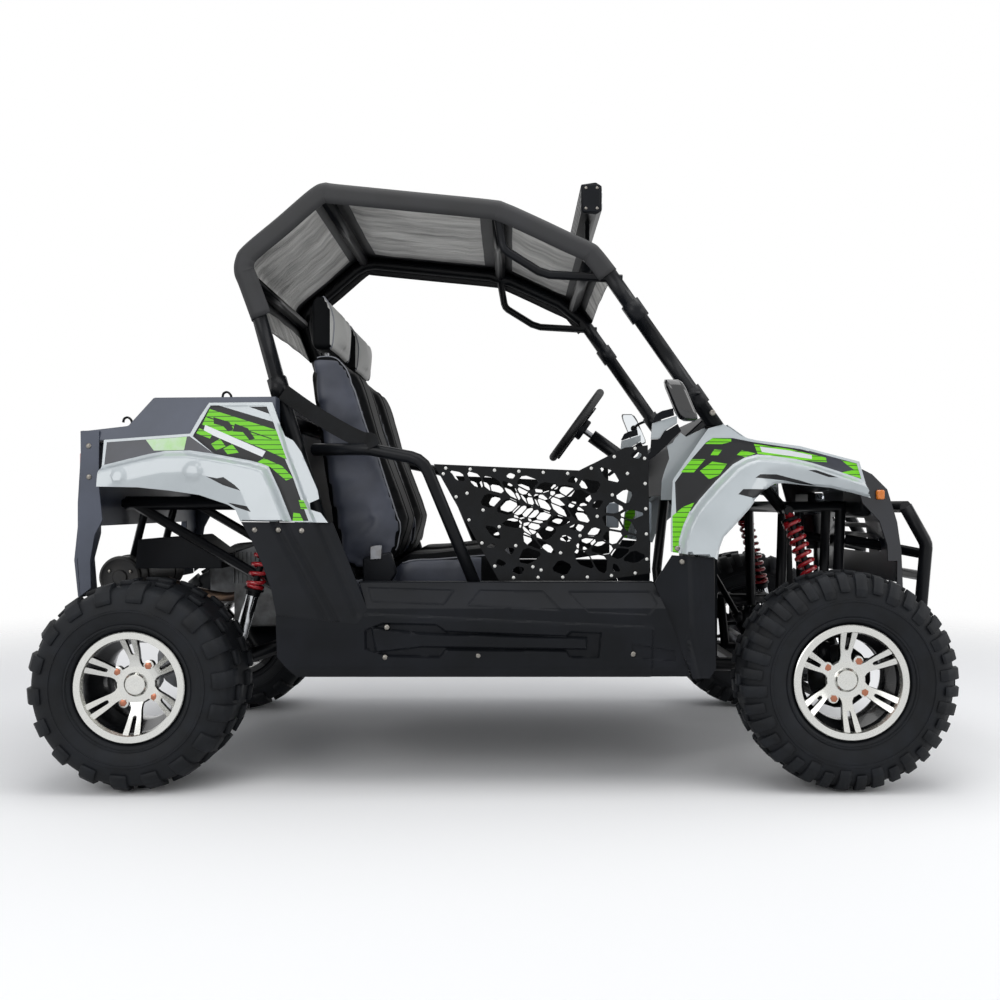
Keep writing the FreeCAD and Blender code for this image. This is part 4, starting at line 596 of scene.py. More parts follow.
def panel(outline, y_at, regions, relief, thick, grid=0.0065, gaps=(), lines=()):
    """A moulded panel in side view, cut along its graphics and set on a leaning plane with a relief."""
    points, edges = [], []

    def spots(a, b):
        """Points from one to the other, a grid step apart."""
        steps = max(1, round(math.dist(a, b) / grid))
        dx, dz = b[0] - a[0], b[1] - a[1]
        return [Vector((a[0] + dx * k / steps, a[1] + dz * k / steps)) for k in range(steps + 1)]

    for loop in [outline] + [line for _, line in regions] + list(gaps):
        first = len(points)
        for a, b in zip(loop, loop[1:] + loop[:1]):
            points += spots(a, b)[:-1]
        count = len(points) - first
        edges += [(first + k, first + (k + 1) % count) for k in range(count)]
    for line in lines:
        for a, b in zip(line, line[1:]):
            run = spots(a, b)
            for pair in zip(run, run[1:]):
                points += pair
                edges.append((len(points) - 2, len(points) - 1))
    xs, zs = [p[0] for p in outline], [p[1] for p in outline]
    for i in range(int((max(xs) - min(xs)) / grid) + 1):
        for j in range(int((max(zs) - min(zs)) / grid) + 1):
            spot = (min(xs) + (i + 0.5 * (j % 2)) * grid, min(zs) + j * grid)
            if inside(spot, outline) and edge_gap(spot, outline) > grid * 0.5:
                points.append(Vector(spot))
    flat, _, tris, *_ = delaunay_2d_cdt(points, edges, [], 0, 1e-5)
    shape = bmesh.new()
    verts = [shape.verts.new((p.x, y_at(p.x, p.y) - relief(p.x, p.y), p.y)) for p in flat]
    coats = []
    for tri in tris:
        middle = sum((flat[i] for i in tri), Vector((0, 0))) / 3
        if not inside(middle, outline) or any(inside(middle, gap) for gap in gaps):
            continue
        coat = body_white
        for paint, loop in regions:
            if inside(middle, loop):
                coat = paint
        if coat not in coats:
            coats.append(coat)
        shape.faces.new([verts[i] for i in tri]).material_index = coats.index(coat)
    bmesh.ops.delete(shape, geom=[v for v in shape.verts if not v.link_faces], context="VERTS")
    shape.normal_update()
    front = list(shape.faces)
    if sum(f.normal.y * f.calc_area() for f in front) > 0:
        bmesh.ops.reverse_faces(shape, faces=front)
    back = bmesh.ops.duplicate(shape, geom=list(shape.verts) + list(shape.edges) + front)
    twins = {old: back["vert_map"][old] for old in list(shape.verts) if old in back["vert_map"]}
    new_verts = [g for g in back["geom"] if isinstance(g, bmesh.types.BMVert)]
    bmesh.ops.translate(shape, verts=new_verts, vec=(0, thick, 0))
    front = set(front)
    for edge in [e for e in shape.edges if len(e.link_faces) == 1 and e.link_faces[0] in front]:
        loop = edge.link_loops[0]
        a, b = loop.vert, loop.link_loop_next.vert
        wall = shape.faces.new((b, a, twins[a], twins[b]))
        wall.material_index = edge.link_faces[0].material_index
    bmesh.ops.reverse_faces(shape, faces=[g for g in back["geom"] if isinstance(g, bmesh.types.BMFace)])
    return mesh_of(shape, *coats)


def on_both_sides(name, meshes, node=None, sharp=40.0):
    """A piece on the right of the chassis and its mirror image on the left."""
    pair = []
    for label in ("right", "left"):
        own = node and node.replace("SIDE", label)
        pair.append(finish(f"{name}_{label}", joined(meshes, mirror=label == "left"), "chassis", own, sharp))
    return pair


front_plane = plane_y((0.404, -0.540, 0.572), (0.559, -0.390, 0.915), (0.928, -0.430, 0.713))
arch_top = mm(
    422, 577, 426, 609, 439, 643, 459, 678, 484, 708, 526, 751, 577, 797, 610, 815, 643, 823, 716, 818,
    787, 802, 858, 779, 919, 757,
)
arch_edge = mm(
    929, 713, 878, 727, 826, 739, 748, 747, 709, 751, 682, 749, 646, 728, 623, 708, 606, 687, 569, 650,
    533, 616, 521, 591, 513, 562,
)
fender_line = mm(
    402, 580, 407, 658, 418, 758, 467, 823, 496, 862, 520, 893, 561, 905, 581, 893, 603, 876, 628, 865,
    760, 848, 914, 808, 922, 757,
) + arch_edge
flare = arch_top + arch_edge
crease = mm(603, 722, 638, 774, 660, 790, 714, 795, 766, 785, 843, 764, 925, 740)
facet = crease + arch_edge[:8]
field = mm(
    421, 672, 423, 752, 470, 812, 511, 856, 530, 868, 583, 868, 634, 858, 760, 840, 906, 803, 913, 762,
    858, 781, 787, 804, 716, 820, 643, 825, 610, 817, 577, 799, 526, 753, 484, 710, 459, 680,
)


def front_relief(x, z):
    """How far the arch stands out, rolls in at its lip and falls in below its crease."""
    spot = (x, z)
    height = 0.0
    if inside(spot, flare) or edge_gap(spot, arch_edge, False) < 1e-4:
        height = 0.026 * ease(edge_gap(spot, arch_top, False) / 0.017)
        if inside(spot, facet) or edge_gap(spot, arch_edge[:8], False) < 1e-4:
            height -= 0.55 * edge_gap(spot, crease, False)
        height -= 0.006 * (1 - ease(edge_gap(spot, arch_edge, False) / 0.006))
    elif inside(spot, field):
        height = -0.0014 * ease(edge_gap(spot, field) / 0.003)
    return height


slits = [
    mm(626, 764, 640, 773, 685, 773, 749, 757, 790, 744, 748, 749, 709, 757, 671, 761),
    mm(578, 722, 592, 735, 658, 735, 633, 716, 618, 712),
    mm(766, 784, 787, 784, 843, 765, 819, 766),
]
front_graphics = [
    (film_black, field),
    (film_blue, mm(782, 836, 906, 803, 907, 786, 858, 781, 787, 804)),
    (film_green, mm(411, 668, 440, 690, 470, 702, 456, 680, 437, 645, 424, 610, 420, 577, 406, 578)),
    (film_green, mm(508, 852, 528, 867, 579, 866, 578, 858, 553, 852)),
    (film_green, mm(440, 778, 470, 812, 506, 812, 474, 778)),
    (film_green, mm(490, 782, 524, 806, 562, 800, 540, 772, 512, 760)),
    (film_green, mm(520, 822, 532, 838, 552, 836, 540, 822)),
    (film_green, mm(590, 824, 604, 836, 640, 828, 612, 818)),
    (film_green, mm(638, 853, 732, 840, 826, 818, 827, 806, 787, 808, 645, 827)),
    (film_white, mm(653, 846, 732, 836, 789, 824, 788, 814, 657, 832)),
    (film_green, mm(866, 812, 906, 802, 912, 764, 862, 779, 898, 786, 884, 796)),
] + [(film_black, slit) for slit in slits]
ramps = [beside(arch_top, d) for d in (0.004, 0.008, 0.0125, 0.017)] + [beside(arch_edge, 0.006)]
fender = panel(fender_line, front_plane, front_graphics, front_relief, 0.004, lines=ramps)
on_both_sides("front_fender", [fender], "fender_front_SIDE", 38)

# Rear fenders: the same white moulding, with a long arch over the wheel, a tall black and lime field
# behind the seats and a white rail down its front edge. Screwed to the black panel below.
rear_plane = plane_y((-0.471, -0.540, 0.650), (-0.590, -0.470, 0.956), (-1.022, -0.480, 0.740))
rear_arch_top = mm(
    -1022, 792, -963, 806, -904, 820, -861, 828, -796, 829, -734, 820, -641, 803, -597, 791, -567, 732,
    -531, 655,
)
rear_arch_edge = mm(-654, 655, -668, 683, -689, 696, -764, 720, -841, 731, -919, 739, -1022, 741)
rear_line = mm(
    -1022, 860, -799, 875, -776, 920, -755, 954, -592, 954, -573, 906, -553, 866, -533, 856, -511, 827,
    -466, 732, -461, 710, -484, 700, -482, 684, -456, 676, -437, 652,
) + rear_arch_edge
rear_flare = rear_arch_top + rear_arch_edge
rear_field = mm(
    -751, 947, -606, 947, -583, 893, -558, 820, -530, 762, -508, 707, -487, 656, -529, 656, -563, 732,
    -595, 794, -641, 806, -734, 823, -792, 868,
)
rail_edge = mm(-583, 905, -558, 830, -530, 765, -506, 707, -480, 652)
rear_slits = [
    mm(-744, 766, -716, 761, -700, 764, -670, 744, -655, 730, -700, 744),
    mm(-689, 701, -637, 692, -626, 678, -668, 690),
]
bosses = [((-0.968, 0.768), 0.020), ((-0.779, 0.778), 0.024)]


def rear_relief(x, z):
    """How far the arch with its two bosses and the rail behind the seats stand out."""
    spot = (x, z)
    height = 0.0
    if inside(spot, rear_flare) or edge_gap(spot, rear_arch_edge, False) < 1e-4:
        rise = edge_gap(spot, rear_arch_top, False)
        height = 0.024 * ease(rise / 0.016)
        low = 0.052 + 0.25 * max(0.0, x + 0.75)
        if rise > low:
            height -= 0.30 * (rise - low)
        for centre, size in bosses:
            height += 0.006 * ease((size - math.dist(spot, centre)) / 0.006)
    elif inside(spot, rear_field):
        height = -0.0014 * ease(edge_gap(spot, rear_field) / 0.003)
    elif z < 0.90 and x > -0.62 and edge_gap(spot, rear_arch_top, False) > 0.03:
        height = 0.010 * ease((edge_gap(spot, rail_edge, False) - 0.004) / 0.010)
    return height


dark_field = mm(-1014, 854, -800, 868, -734, 823, -796, 832, -861, 831, -904, 823, -963, 809, -1016, 796)
rear_graphics = [
    (film_blue, dark_field),
    (film_pale, mm(-913, 860, -807, 867, -812, 833, -890, 832)),
    (film_black, rear_field),
    (body_white, mm(-733, 948, -605, 948, -588, 904)),
    (film_black, mm(-652, 943, -606, 943, -598, 924)),
    (film_green, mm(-753, 938, -579, 883, -548, 808, -606, 834, -770, 898)),
    (film_black, mm(-742, 917, -700, 904, -688, 885, -702, 880, -716, 894, -740, 900)),
    (film_black, mm(-686, 900, -652, 888, -632, 861, -646, 858, -664, 878, -690, 880)),
    (film_black, mm(-758, 919, -590, 862, -589, 859, -759, 916)),
    (film_white, mm(-762, 897, -603, 829, -611, 815, -766, 881)),
    (film_green, mm(-776, 889, -784, 876, -748, 862, -742, 872)),
    (film_green, mm(-722, 862, -706, 842, -730, 832, -744, 848)),
    (film_green, mm(-690, 848, -672, 826, -700, 822, -712, 836)),
    (film_green, mm(-607, 812, -560, 792, -530, 762, -548, 756, -590, 790, -622, 802)),
    (film_green, mm(-514, 707, -502, 707, -490, 684, -508, 686)),
    (film_green, mm(-526, 676, -510, 674, -500, 656, -527, 656)),
] + [(film_black, slit) for slit in rear_slits]
ramps = [beside(rear_arch_top, d) for d in (0.004, 0.008, 0.012, 0.016)]
ramps += [beside(rail_edge, d) for d in (-0.004, -0.009, -0.014)]
quarter = panel(rear_line, rear_plane, rear_graphics, rear_relief, 0.004, lines=ramps)
on_both_sides("rear_fender", [quarter], "fender_rear_SIDE", 38)


def moulded_copy(node, name, coat, bevel=0.0018):
    """A copy of a flat-sided CAD node whose edges are rounded as a mould leaves them."""
    shape = shape_of(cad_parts[node].data, 2e-5)
    bmesh.ops.dissolve_limit(shape, angle_limit=math.radians(0.6), verts=shape.verts, edges=shape.edges)
    ridges = [e for e in shape.edges if len(e.link_faces) == 2 and e.calc_face_angle(0) > math.radians(14)]
    bmesh.ops.bevel(shape, geom=ridges, offset=bevel, segments=2, affect="EDGES", clamp_overlap=True)
    bmesh.ops.recalc_face_normals(shape, faces=shape.faces)
    finish(name, mesh_of(shape, coat), "chassis", node, 24.0)


moulded_copy("hood", "hood_panel", body_white, 0.004)

# Dark body panels: the rear box lid and the tail with its two flaps in slate plastic that the sun has
# bleached, the nose in a deeper slate, and the cab's panels in textured black. All screwed on.
slate_grain = (0.0018, 0.00006)
bleached_slate = material("bleached_slate_plastic", "#373D4A", 0.42, 0.0, slate_grain, ("#454B5A", 0.14))
nose_paint = material(
    "dark_slate_plastic", "#13151B", 0.34, 0.0, slate_grain, ("#1C1F27", 0.14), Coat_Weight=0.2
)
for node, name, coat in (
    ("rear_deck", "rear_box_lid", bleached_slate),
    ("tail_panel", "tail_and_flaps", bleached_slate),
    ("dash", "dashboard", black_plastic),
    ("floor_tub", "floor_and_firewall", black_plastic),
    ("seat_box", "seat_pedestal", black_plastic),
    ("air_box", "air_filter_box", black_plastic),
    ("nose", "nose_fascia", nose_paint),
):
    moulded_copy(node, name, coat)


# Outer skins of the sill, quarter panel and front guard: the same black plastic, moulded with sunk
# fields, a proud bar in a long recess and pressed lines, and screwed to the frame through its face.
def sill_y(x, z):
    """The Y of the sill's outside, by height: tread edge, waist, tucked wall and rounded foot."""
    if z > 0.445:
        return -0.575 + (z - 0.445) * 55 / 60
    if z > 0.395:
        return -0.575
    if z > 0.300:
        return -0.575 + (0.395 - z) * 16 / 95
    return -0.559 + (0.300 - z) * 23 / 26


sunk = [
    mm(-345, 494, -125, 488, -152, 452, -330, 458),
    mm(-100, 450, -68, 488, 88, 486, 138, 438),
    mm(144, 484, 352, 484, 366, 455, 345, 428, 196, 434),
]
recess = mm(
    -300, 412, -170, 409, -147, 393, 142, 381, 152, 392, 229, 388, 224, 323, 152, 323, 142, 338, -147, 342,
    -164, 323, -290, 326, -345, 345, -345, 395,
)
bar = mm(-330, 402, -209, 387, 195, 376, 195, 343, -205, 349, -320, 336)
front_pocket = mm(301, 362, 408, 342, 411, 312, 301, 324)


def sill_relief(x, z):
    """How far the sunk fields, the step below the tread edge, the recess and its bar stand in or out."""
    spot = (x, z)
    height = 0.0
    for loop in sunk:
        if inside(spot, loop):
            height = -0.0035 * ease(edge_gap(spot, loop) / 0.004)
    floor_z = 0.436 - 0.0463 * (x + 0.361)
    if z < floor_z and x < 0.352:
        height += 0.005 * ease((floor_z - z) / 0.006)
    if inside(spot, recess):
        height -= 0.009 * ease(edge_gap(spot, recess) / 0.006)
        if inside(spot, bar):
            height += 0.010 * ease(edge_gap(spot, bar) / 0.006)
    if inside(spot, front_pocket):
        height -= 0.005 * ease(edge_gap(spot, front_pocket) / 0.004)
    return height


sill_line = mm(-557, 429, -361, 408, -337, 442, -364, 505, 360, 505, 449, 274, -516, 274, -557, 327)
whole = [(-1, 0), (-1, 1), (1, 1), (1, 0)]
fields = [(black_plastic, loop) for loop in [whole] + sunk + [recess, bar, front_pocket]]
slopes = [beside(loop + loop[:1], 0.004) for loop in sunk]
slopes += [beside(loop + loop[:1], 0.006) for loop in (recess, bar)]
slopes += [mm(-361, 436, 330, 404), mm(-366, 445, 385, 445)]
skin = panel(sill_line, sill_y, fields, sill_relief, 0.004, 0.0055, lines=slopes)
ledge = [(-0.366, y, z) for y, z in mm(-522, 505, -485, 505, -485, 501, -522, 501)]
ledge = solid_of(ledge, (0.727, 0, 0), coat=black_plastic)
on_both_sides("sill_skin", [skin, ledge], "sill_SIDE", 38)

guard_plane = plane_y((0.404, -0.540, 0.572), (0.505, -0.540, 0.565), (0.430, -0.572, 0.300))
guard_line = mm(404, 572, 505, 565, 504, 300, 488, 277, 449, 276, 360, 505)
guard_crease = mm(440, 568, 442, 400, 468, 280)
guard_fold = mm(470, 566, 474, 250)


def guard_relief(x, z):
    """The front guard's wheel side stands a little out beyond its crease, with one pressed line."""
    spot = (x, z)
    rise = 0.006 * ease((edge_gap(spot, guard_crease, False)) / 0.012) if x > 0.441 else 0.0
    return rise - 0.0025 * (1 - ease(edge_gap(spot, guard_fold, False) / 0.005))


skin = panel(guard_line, guard_plane, [(black_plastic, whole)], guard_relief, 0.004, lines=[guard_crease])
on_both_sides("front_guard", [skin], "side_panels_front", 38)

quarter_plane = plane_y((-0.652, -0.540, 0.650), (-0.427, -0.540, 0.650), (-0.459, -0.577, 0.430))
quarter_line = mm(-652, 653.5, -427, 651.5, -337, 442, -361, 408, -557, 429, -571, 488, -595, 549, -625, 610)
quarter_folds = [mm(-571, 650, -438, 418), mm(-545, 650, -410, 412), mm(
    -462, 650, -362, 430,
)]


def quarter_relief(x, z):
    """Three pressed lines that lean with the seat."""
    height = 0.0
    for fold, depth in zip(quarter_folds, (0.004, 0.004, 0.003)):
        height -= depth * (1 - ease(edge_gap((x, z), fold, False) / 0.009))
    return height


fields = [(black_plastic, whole)]
skin = panel(quarter_line, quarter_plane, fields, quarter_relief, 0.004, lines=quarter_folds)
on_both_sides("quarter_skin", [skin], "side_panels_rear", 38)


# Screws: zinc-plated button heads, 13 mm across, that hold the panels to the frame and to each other.
zinc = material("zinc_plated_screw", "#94918B", 0.38, 1.0, (0.0015, 0.00008), ("#5C5752", 0.006))


def on_each_point(tree, given):
    """A low dome on every vertex of the modifier's mesh."""
    dome = add(tree, "GeometryNodeMeshUVSphere", {"Segments": 14, "Rings": 8, "Radius": 1.0})
    return {"Points": given["Geometry"], "Instance": dome.outputs[0], "Scale": given["Size"]}


dots = repeat_tree("domes_on_points", (("Size", "Vector"),), on_each_point)


def domes(spots, size, coat):
    """Small domes at points, in one mesh."""
    return grown(built([tuple(p) for p in spots], []), dots, Size=size, Coat=coat)


heads = []
for side_y, proud, spots in (
    (front_plane, 0.001, mm(418, 588)),
    (guard_plane, 0.001, mm(428, 556, 487, 548)),
    (quarter_plane, 0.0, mm(-618, 634, -560, 634, -503, 632)),
    (sill_y, 0.003, mm(-290, 400, -296, 326, -70, 331, 305, 334)),
):
    heads += [(x, side_y(x, z) - proud, z) for x, z in spots]
on_both_sides("panel_screws", [domes(heads, (0.0068, 0.0035, 0.0068), zinc)])


# Seats: two high-backed bucket seats, each a foam squab, back and headrest in sewn vinyl. The front
# is black with two sewn channels, the sides are slate and the headrest's face is silver grey.
# The vinyl has a pebbled grain over a millimetre across, and is rubbed in places a hand wide.
vinyl = material(
    "black_seat_vinyl", "#08090A", 0.55, 0.0, (0.0014, 0.00018), ("#0F1012", 0.07), True,
    IOR=1.2, Specular_IOR_Level=0.2,
)
slate_vinyl = material("slate_seat_vinyl", "#292D38", 0.46, 0.0, (0.0014, 0.0002), ("#3A3E4B", 0.09), True)
silver_vinyl = material("silver_grey_vinyl", "#A4A4A1", 0.5, peel=(0.0014, 0.0002), cells=True)
piping = material("pale_seat_piping", "#6E7076", 0.5, peel=(0.0012, 0.0001))


def cushion(profile, near, far, coat_of, voxel):
    """A foam block in its cover: the side profile pushed from near to far in Y, then blown up taut."""
    holder = placed("foam", solid_of([(x, near, z) for x, z in profile], (0, far - near, 0)))
    cells = holder.modifiers.new("cells", "REMESH")
    cells.mode = "VOXEL"
    cells.voxel_size = voxel
    rounded = holder.modifiers.new("rounded", "SMOOTH")
    rounded.iterations = 3
    start = plain(holder)
    for coat in (vinyl, slate_vinyl, silver_vinyl):
        start.materials.append(coat)
    for face in start.polygons:
        face.material_index = coat_of(face.center, face.normal)
    blown = placed("blown", start.copy())
    cloth = blown.modifiers.new("cloth", "CLOTH")
    cloth.settings.quality = 4
    cloth.settings.tension_stiffness = 18
    cloth.settings.compression_stiffness = 18
    cloth.settings.use_pressure = True
    cloth.settings.uniform_pressure_force = 4
    cloth.settings.effector_weights.gravity = 0
    cloth.collision_settings.use_collision = False
    cloth.point_cache.frame_start = 1
    cloth.point_cache.frame_end = 20
    for tick in range(1, 21):
        scene.frame_set(tick)
        taut = blown.evaluated_get(bpy.context.evaluated_depsgraph_get())
    outs = [vert.normal.copy() for vert in start.vertices]
    # The foam core holds the cover up, so the skin bulges out but hardly sinks in.
    sink_held, farthest = 0.85, 0.020
    for vert, moved, out in zip(start.vertices, taut.data.vertices, outs):
        step = moved.co - vert.co
        step -= out * min(step.dot(out), 0) * sink_held
        vert.co += step * min(1, farthest / max(step.length, 1e-6))
    bpy.data.objects.remove(blown)
    scene.frame_set(1)
    holder = placed("foam", start)
    finer = holder.modifiers.new("finer", "SUBSURF")
    finer.levels = finer.render_levels = 1
    return plain(holder)


def coated(mesh, coat):
    """The mesh in one coat."""
    mesh.materials.clear()
    mesh.materials.append(coat)
    return mesh


def sweep(points, radius, coat, smooth=1):
    """A round tube along points; smooth gives its cross-section more sides."""
    curve = bpy.data.curves.new("path", "CURVE")
    curve.dimensions = "3D"
    curve.bevel_depth = 1.0
    curve.bevel_resolution = smooth
    curve.use_fill_caps = True
    line = curve.splines.new("POLY")
    line.points.add(len(points) - 1)
    for spot, at in zip(line.points, points):
        spot.co = (*at, 1)
        spot.radius = radius
    return coated(plain(placed("path", curve)), coat)


seat_near, seat_far = -0.379, -0.045
seat_middle = (seat_near + seat_far) / 2
squab_side = mm(-424, 449, 4, 449, 18, 500, 8, 553, -12, 569, -189, 549, -262, 546, -300, 515, -424, 500)
back_side = mm(
    -286, 585, -281, 640, -308, 720, -368, 878, -402, 996, -424, 1058, -458, 1090, -508, 1088, -492, 960,
    -468, 790, -428, 540, -380, 516, -310, 545,
)
head_side = mm(-516, 1106, -462, 1106, -461, 1170, -469, 1221, -484, 1243, -504, 1243, -516, 1222)
for name, side, inset, voxel, run in (
    ("squab", squab_side, 0, 0.0105, squab_side[2:7]),
    ("backrest", back_side, 0, 0.0105, back_side[:8]),
    ("headrest", head_side, 0.022, 0.0085, head_side[1:5]),
):
    near, far = seat_near + inset, seat_far - inset
    at_head = name == "headrest"

    def coat_of(centre, normal):
        """Slate on the sides of squab and back, silver on the headrest's face, black elsewhere."""
        at_side = abs(normal.y) > 0.72
        if at_head:
            return 2 if normal.x > 0.5 and not at_side else 0
        return 1 if at_side and (name == "backrest" or centre.x < -0.06) else 0

    foam = cushion(side, near, far, coat_of, voxel)
    centre = sum((Vector((x, 0, z)) for x, z in side), Vector()) / len(side)
    # Two sewn channels run up the face.
    groove, depth = 0.0065, 0.0065
    lanes = () if at_head else (seat_middle - 0.075, seat_middle + 0.075)
    for vert in foam.vertices:
        facing = vert.normal.z if name == "squab" else vert.normal.x
        if facing > 0.3:
            sunk_by = sum(depth * math.exp(-(((vert.co.y - lane) / groove) ** 2)) for lane in lanes)
            vert.co -= vert.normal * sunk_by
    skin = BVHTree.FromPolygons([v.co for v in foam.vertices], [list(p.vertices) for p in foam.polygons])
    parts = [foam]
    # Piping stands in the seams, a thumb's width in from each side.
    for edge, inward in ((near, 1), (far, -1)):
        line = []
        for spot in smooth_line([(x, edge + inward * 0.014, z) for x, z in run], 5):
            out = (Vector((spot.x, 0, spot.z)) - centre).normalized()
            hit = skin.find_nearest(spot + out * 0.02 - Vector((0, inward * 0.006, 0)))
            line.append(hit[0] + hit[1] * 0.0006)
        parts.append(sweep(line, 0.0021, piping))
    if at_head:
        # Two steel posts carry it on the backrest.
        for y in (seat_middle - 0.07, seat_middle + 0.07):
            parts.append(sweep([(-0.488, y, 1.050), (-0.489, y, 1.130)], 0.006, bare_steel, 2))
    for made in on_both_sides("seat_" + name, parts, "seat_SIDE", 75):
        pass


# Canopy: one sewn cover of coated cloth, tight over the top and back of the cage and lapped down
# outside each roof rail. It is black outside, and silver inside between the cross tubes.
canopy_black, tree, shader = surface("black_coated_cloth", "#101113", 0.62)
spot = add(tree, "ShaderNodeTexCoord").outputs["Object"]
weave = add(tree, "ShaderNodeTexVoronoi", {"Vector": spot, "Scale": 700.0})
pressed(shader, weave.outputs["Distance"], 0.0002, 0.5)
patched(shader, spot, "#0E0F11", "#191A1E", 0.12)
canopy_silver, tree, shader = surface("silver_cloth_lining", "#8C8B88", 0.5, 0.25)
spot = add(tree, "ShaderNodeTexCoord").outputs["Object"]
# The creases run fore and aft, as the lining is pulled between the cross tubes.
drawn = add(tree, "ShaderNodeMapping", {"Vector": spot, "Scale": (5.0, 24.0, 5.0)}).outputs["Vector"]
folds = {"Vector": drawn, "Scale": 1.0, "Detail": 5.0, "Roughness": 0.6, "Distortion": 1.2}
folds = add(tree, "ShaderNodeTexNoise", folds)
pressed(shader, folds.outputs["Fac"], 0.014, 1.0)
# Its tone is streaked light and dark along the same creases: a painted sheen on the folds and painted shade
# between them.
patched(shader, drawn, "#D6D5D1", "#807F7D", 1.0)

canopy_line = mm(
    -667, 1174, -700, 1264, -713, 1299, -710.5, 1334, -690, 1369, -600, 1445, -515, 1518, -478, 1535.5,
    -440, 1532, -250, 1513, -45, 1492.5, 0, 1482, 90, 1442, 168, 1405, 222, 1380, 243, 1364, 285, 1311,
)
rails_y, lap = 0.3807, 0.058
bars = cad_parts["cage_cross_tubes"].data
bar_tree = BVHTree.FromPolygons([v.co for v in bars.vertices], [list(p.vertices) for p in bars.polygons])
rows = smooth_line([(x, 0, z) for x, z in canopy_line], 5)
half = [(0.404, -lap)] + mm(404, -41, 404, -23.3, 400.9, -11.7, 392.3, -3.1) + [(rails_y, 0.0)]
half += [(rails_y * (1 - k / 22), 0.0) for k in range(1, 23)]
section = [(-y, drop) for y, drop in half] + [(y, drop) for y, drop in reversed(half[:-1])]
points, gaps = [], []
travel = 0.0
for i, spot in enumerate(rows):
    before, after = rows[max(i - 1, 0)], rows[min(i + 1, len(rows) - 1)]
    along = (after - before).normalized()
    up = Vector((-along.z, 0, along.x))
    travel += (spot - rows[i - 1]).length if i else 0
    for y, drop in section:
        flat = 1 - min(abs(y) / rails_y, 1) ** 2
        at = spot + Vector((0, y, 0)) + up * drop
        gap = bar_tree.find_nearest(at)[3]
        sag = 0.009 * ease((gap - 0.004) / 0.07) * flat
        fore = math.sin(travel * 58 + 5 * y + 2.2 * math.sin(9 * y))
        across = math.sin(14 * y + 3 * math.sin(travel * 9))
        ripple = 0.0026 * fore * across * flat * ease((gap - 0.004) / 0.04)
        hem = 0.0010 * math.sin(travel * 75) * ease((-drop - 0.02) / 0.03)
        points.append(at - up * (sag - ripple) + Vector((0, -math.copysign(hem, y), 0)))
        gaps.append(gap)
width = len(section)
corners = [i * width + j for i in range(len(rows) - 1) for j in range(width - 1)]
cover = built(points, [(k, k + width, k + width + 1, k + 1) for k in corners])
# The inner face takes the next slot: silver in the bays, black where the cover lies on a tube.
in_bay, on_tube = 0, 2
for coat in (canopy_black, canopy_silver, canopy_black, canopy_black):
    cover.materials.append(coat)
for face in cover.polygons:
    lined = abs(face.center.y) < 0.330 and min(gaps[k] for k in face.vertices) > 0.022
    face.material_index = in_bay if lined else on_tube
if sum(face.normal.z * face.area for face in cover.polygons) < 0:
    cover.flip_normals()
girth = sum(math.dist(a, b) for a, b in zip(section, section[1:]))
made = finish("canopy_cover", cover, "chassis", sharp=60)
cloth = made.modifiers.new("cloth_thickness", "SOLIDIFY")
cloth.thickness = 0.0022
cloth.offset = -1
cloth.material_offset = 1
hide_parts("canopy")


# Side nets: a cord net in a border of black webbing, held by pale rivets, that closes the opening
# ahead of the hip bar. Two webbing straps cross it to the bar's foot.
webbing, tree, shader = surface("black_nylon_webbing", "#0A0B0C", 0.7, Specular_IOR_Level=0.2)
spot = add(tree, "ShaderNodeTexCoord").outputs["Object"]
# A diagonal twill, its ribs a few millimetres apart and a little coarser than the real ones.
twill = {"Vector": spot, "Scale": 150.0, "Distortion": 1.0}
twill = add(tree, "ShaderNodeTexWave", twill, bands_direction="DIAGONAL")
pressed(shader, twill.outputs["Fac"], 0.0003)
patched(shader, spot, "#090A0B", "#111316", 0.04)
rivet_white = material("nickel_rivet", "#C9C9C6", 0.35, 0.6, (0.001, 0.00005))
net_line = mm(-183, 797, 180, 781, 292, 838, 350, 844, 356, 526, 230, 507, -20, 507)
lean = plane_y((0, -0.507, 0.520), (0.1, -0.507, 0.520), (0, -0.501, 0.800))
bands = [net_line + net_line[:1], mm(-120, 745, 0, 620, 85, 515), mm(
    318, 800, 205, 640, 60, 512,
)]
half_band = [0.0125, 0.0058, 0.0058]
dice = random.Random(11)
pitch_u, pitch_v, turn = 0.045, 0.036, math.radians(-17)
knots = {}
for i in range(-4, 20):
    for j in range(-14, 22):
        u = (i + 0.35 * j % 1 + dice.uniform(-0.22, 0.22)) * pitch_u
        v = (j + dice.uniform(-0.22, 0.22)) * pitch_v
        x = -0.18 + u * math.cos(turn) - v * math.sin(turn)
        knots[i, j] = (x, 0.58 + u * math.sin(turn) + v * math.cos(turn))
holes = []
for i in range(-4, 19):
    for j in range(-14, 21):
        loop = [knots[i, j], knots[i + 1, j], knots[i + 1, j + 1], knots[i, j + 1]]
        cx, cz = sum(p[0] for p in loop) / 4, sum(p[1] for p in loop) / 4
        full = dice.uniform(0.84, 0.92)
        # The cords are pulled round at each knot, so a mesh has eight corners. Beside a band it is smaller.
        for share in (full, full * 0.8, full * 0.62, full * 0.45):
            near = [(cx + (x - cx) * share, cz + (z - cz) * share) for x, z in loop]
            eight = []
            for a, b in zip(near, near[1:] + near[:1]):
                eight += [(a[0] + (b[0] - a[0]) * t, a[1] + (b[1] - a[1]) * t) for t in (0.2, 0.8)]
            gaps = [edge_gap(p, band, False) - wide for p in eight for band, wide in zip(bands, half_band)]
            if min(gaps) > 0 and all(inside(p, net_line) for p in eight):
                holes.append(eight)
                break


def wave(x, z):
    """The net hangs in slack waves a millimetre deep."""
    return 0.0012 * math.sin(26 * x + 7 * z) - 0.0006


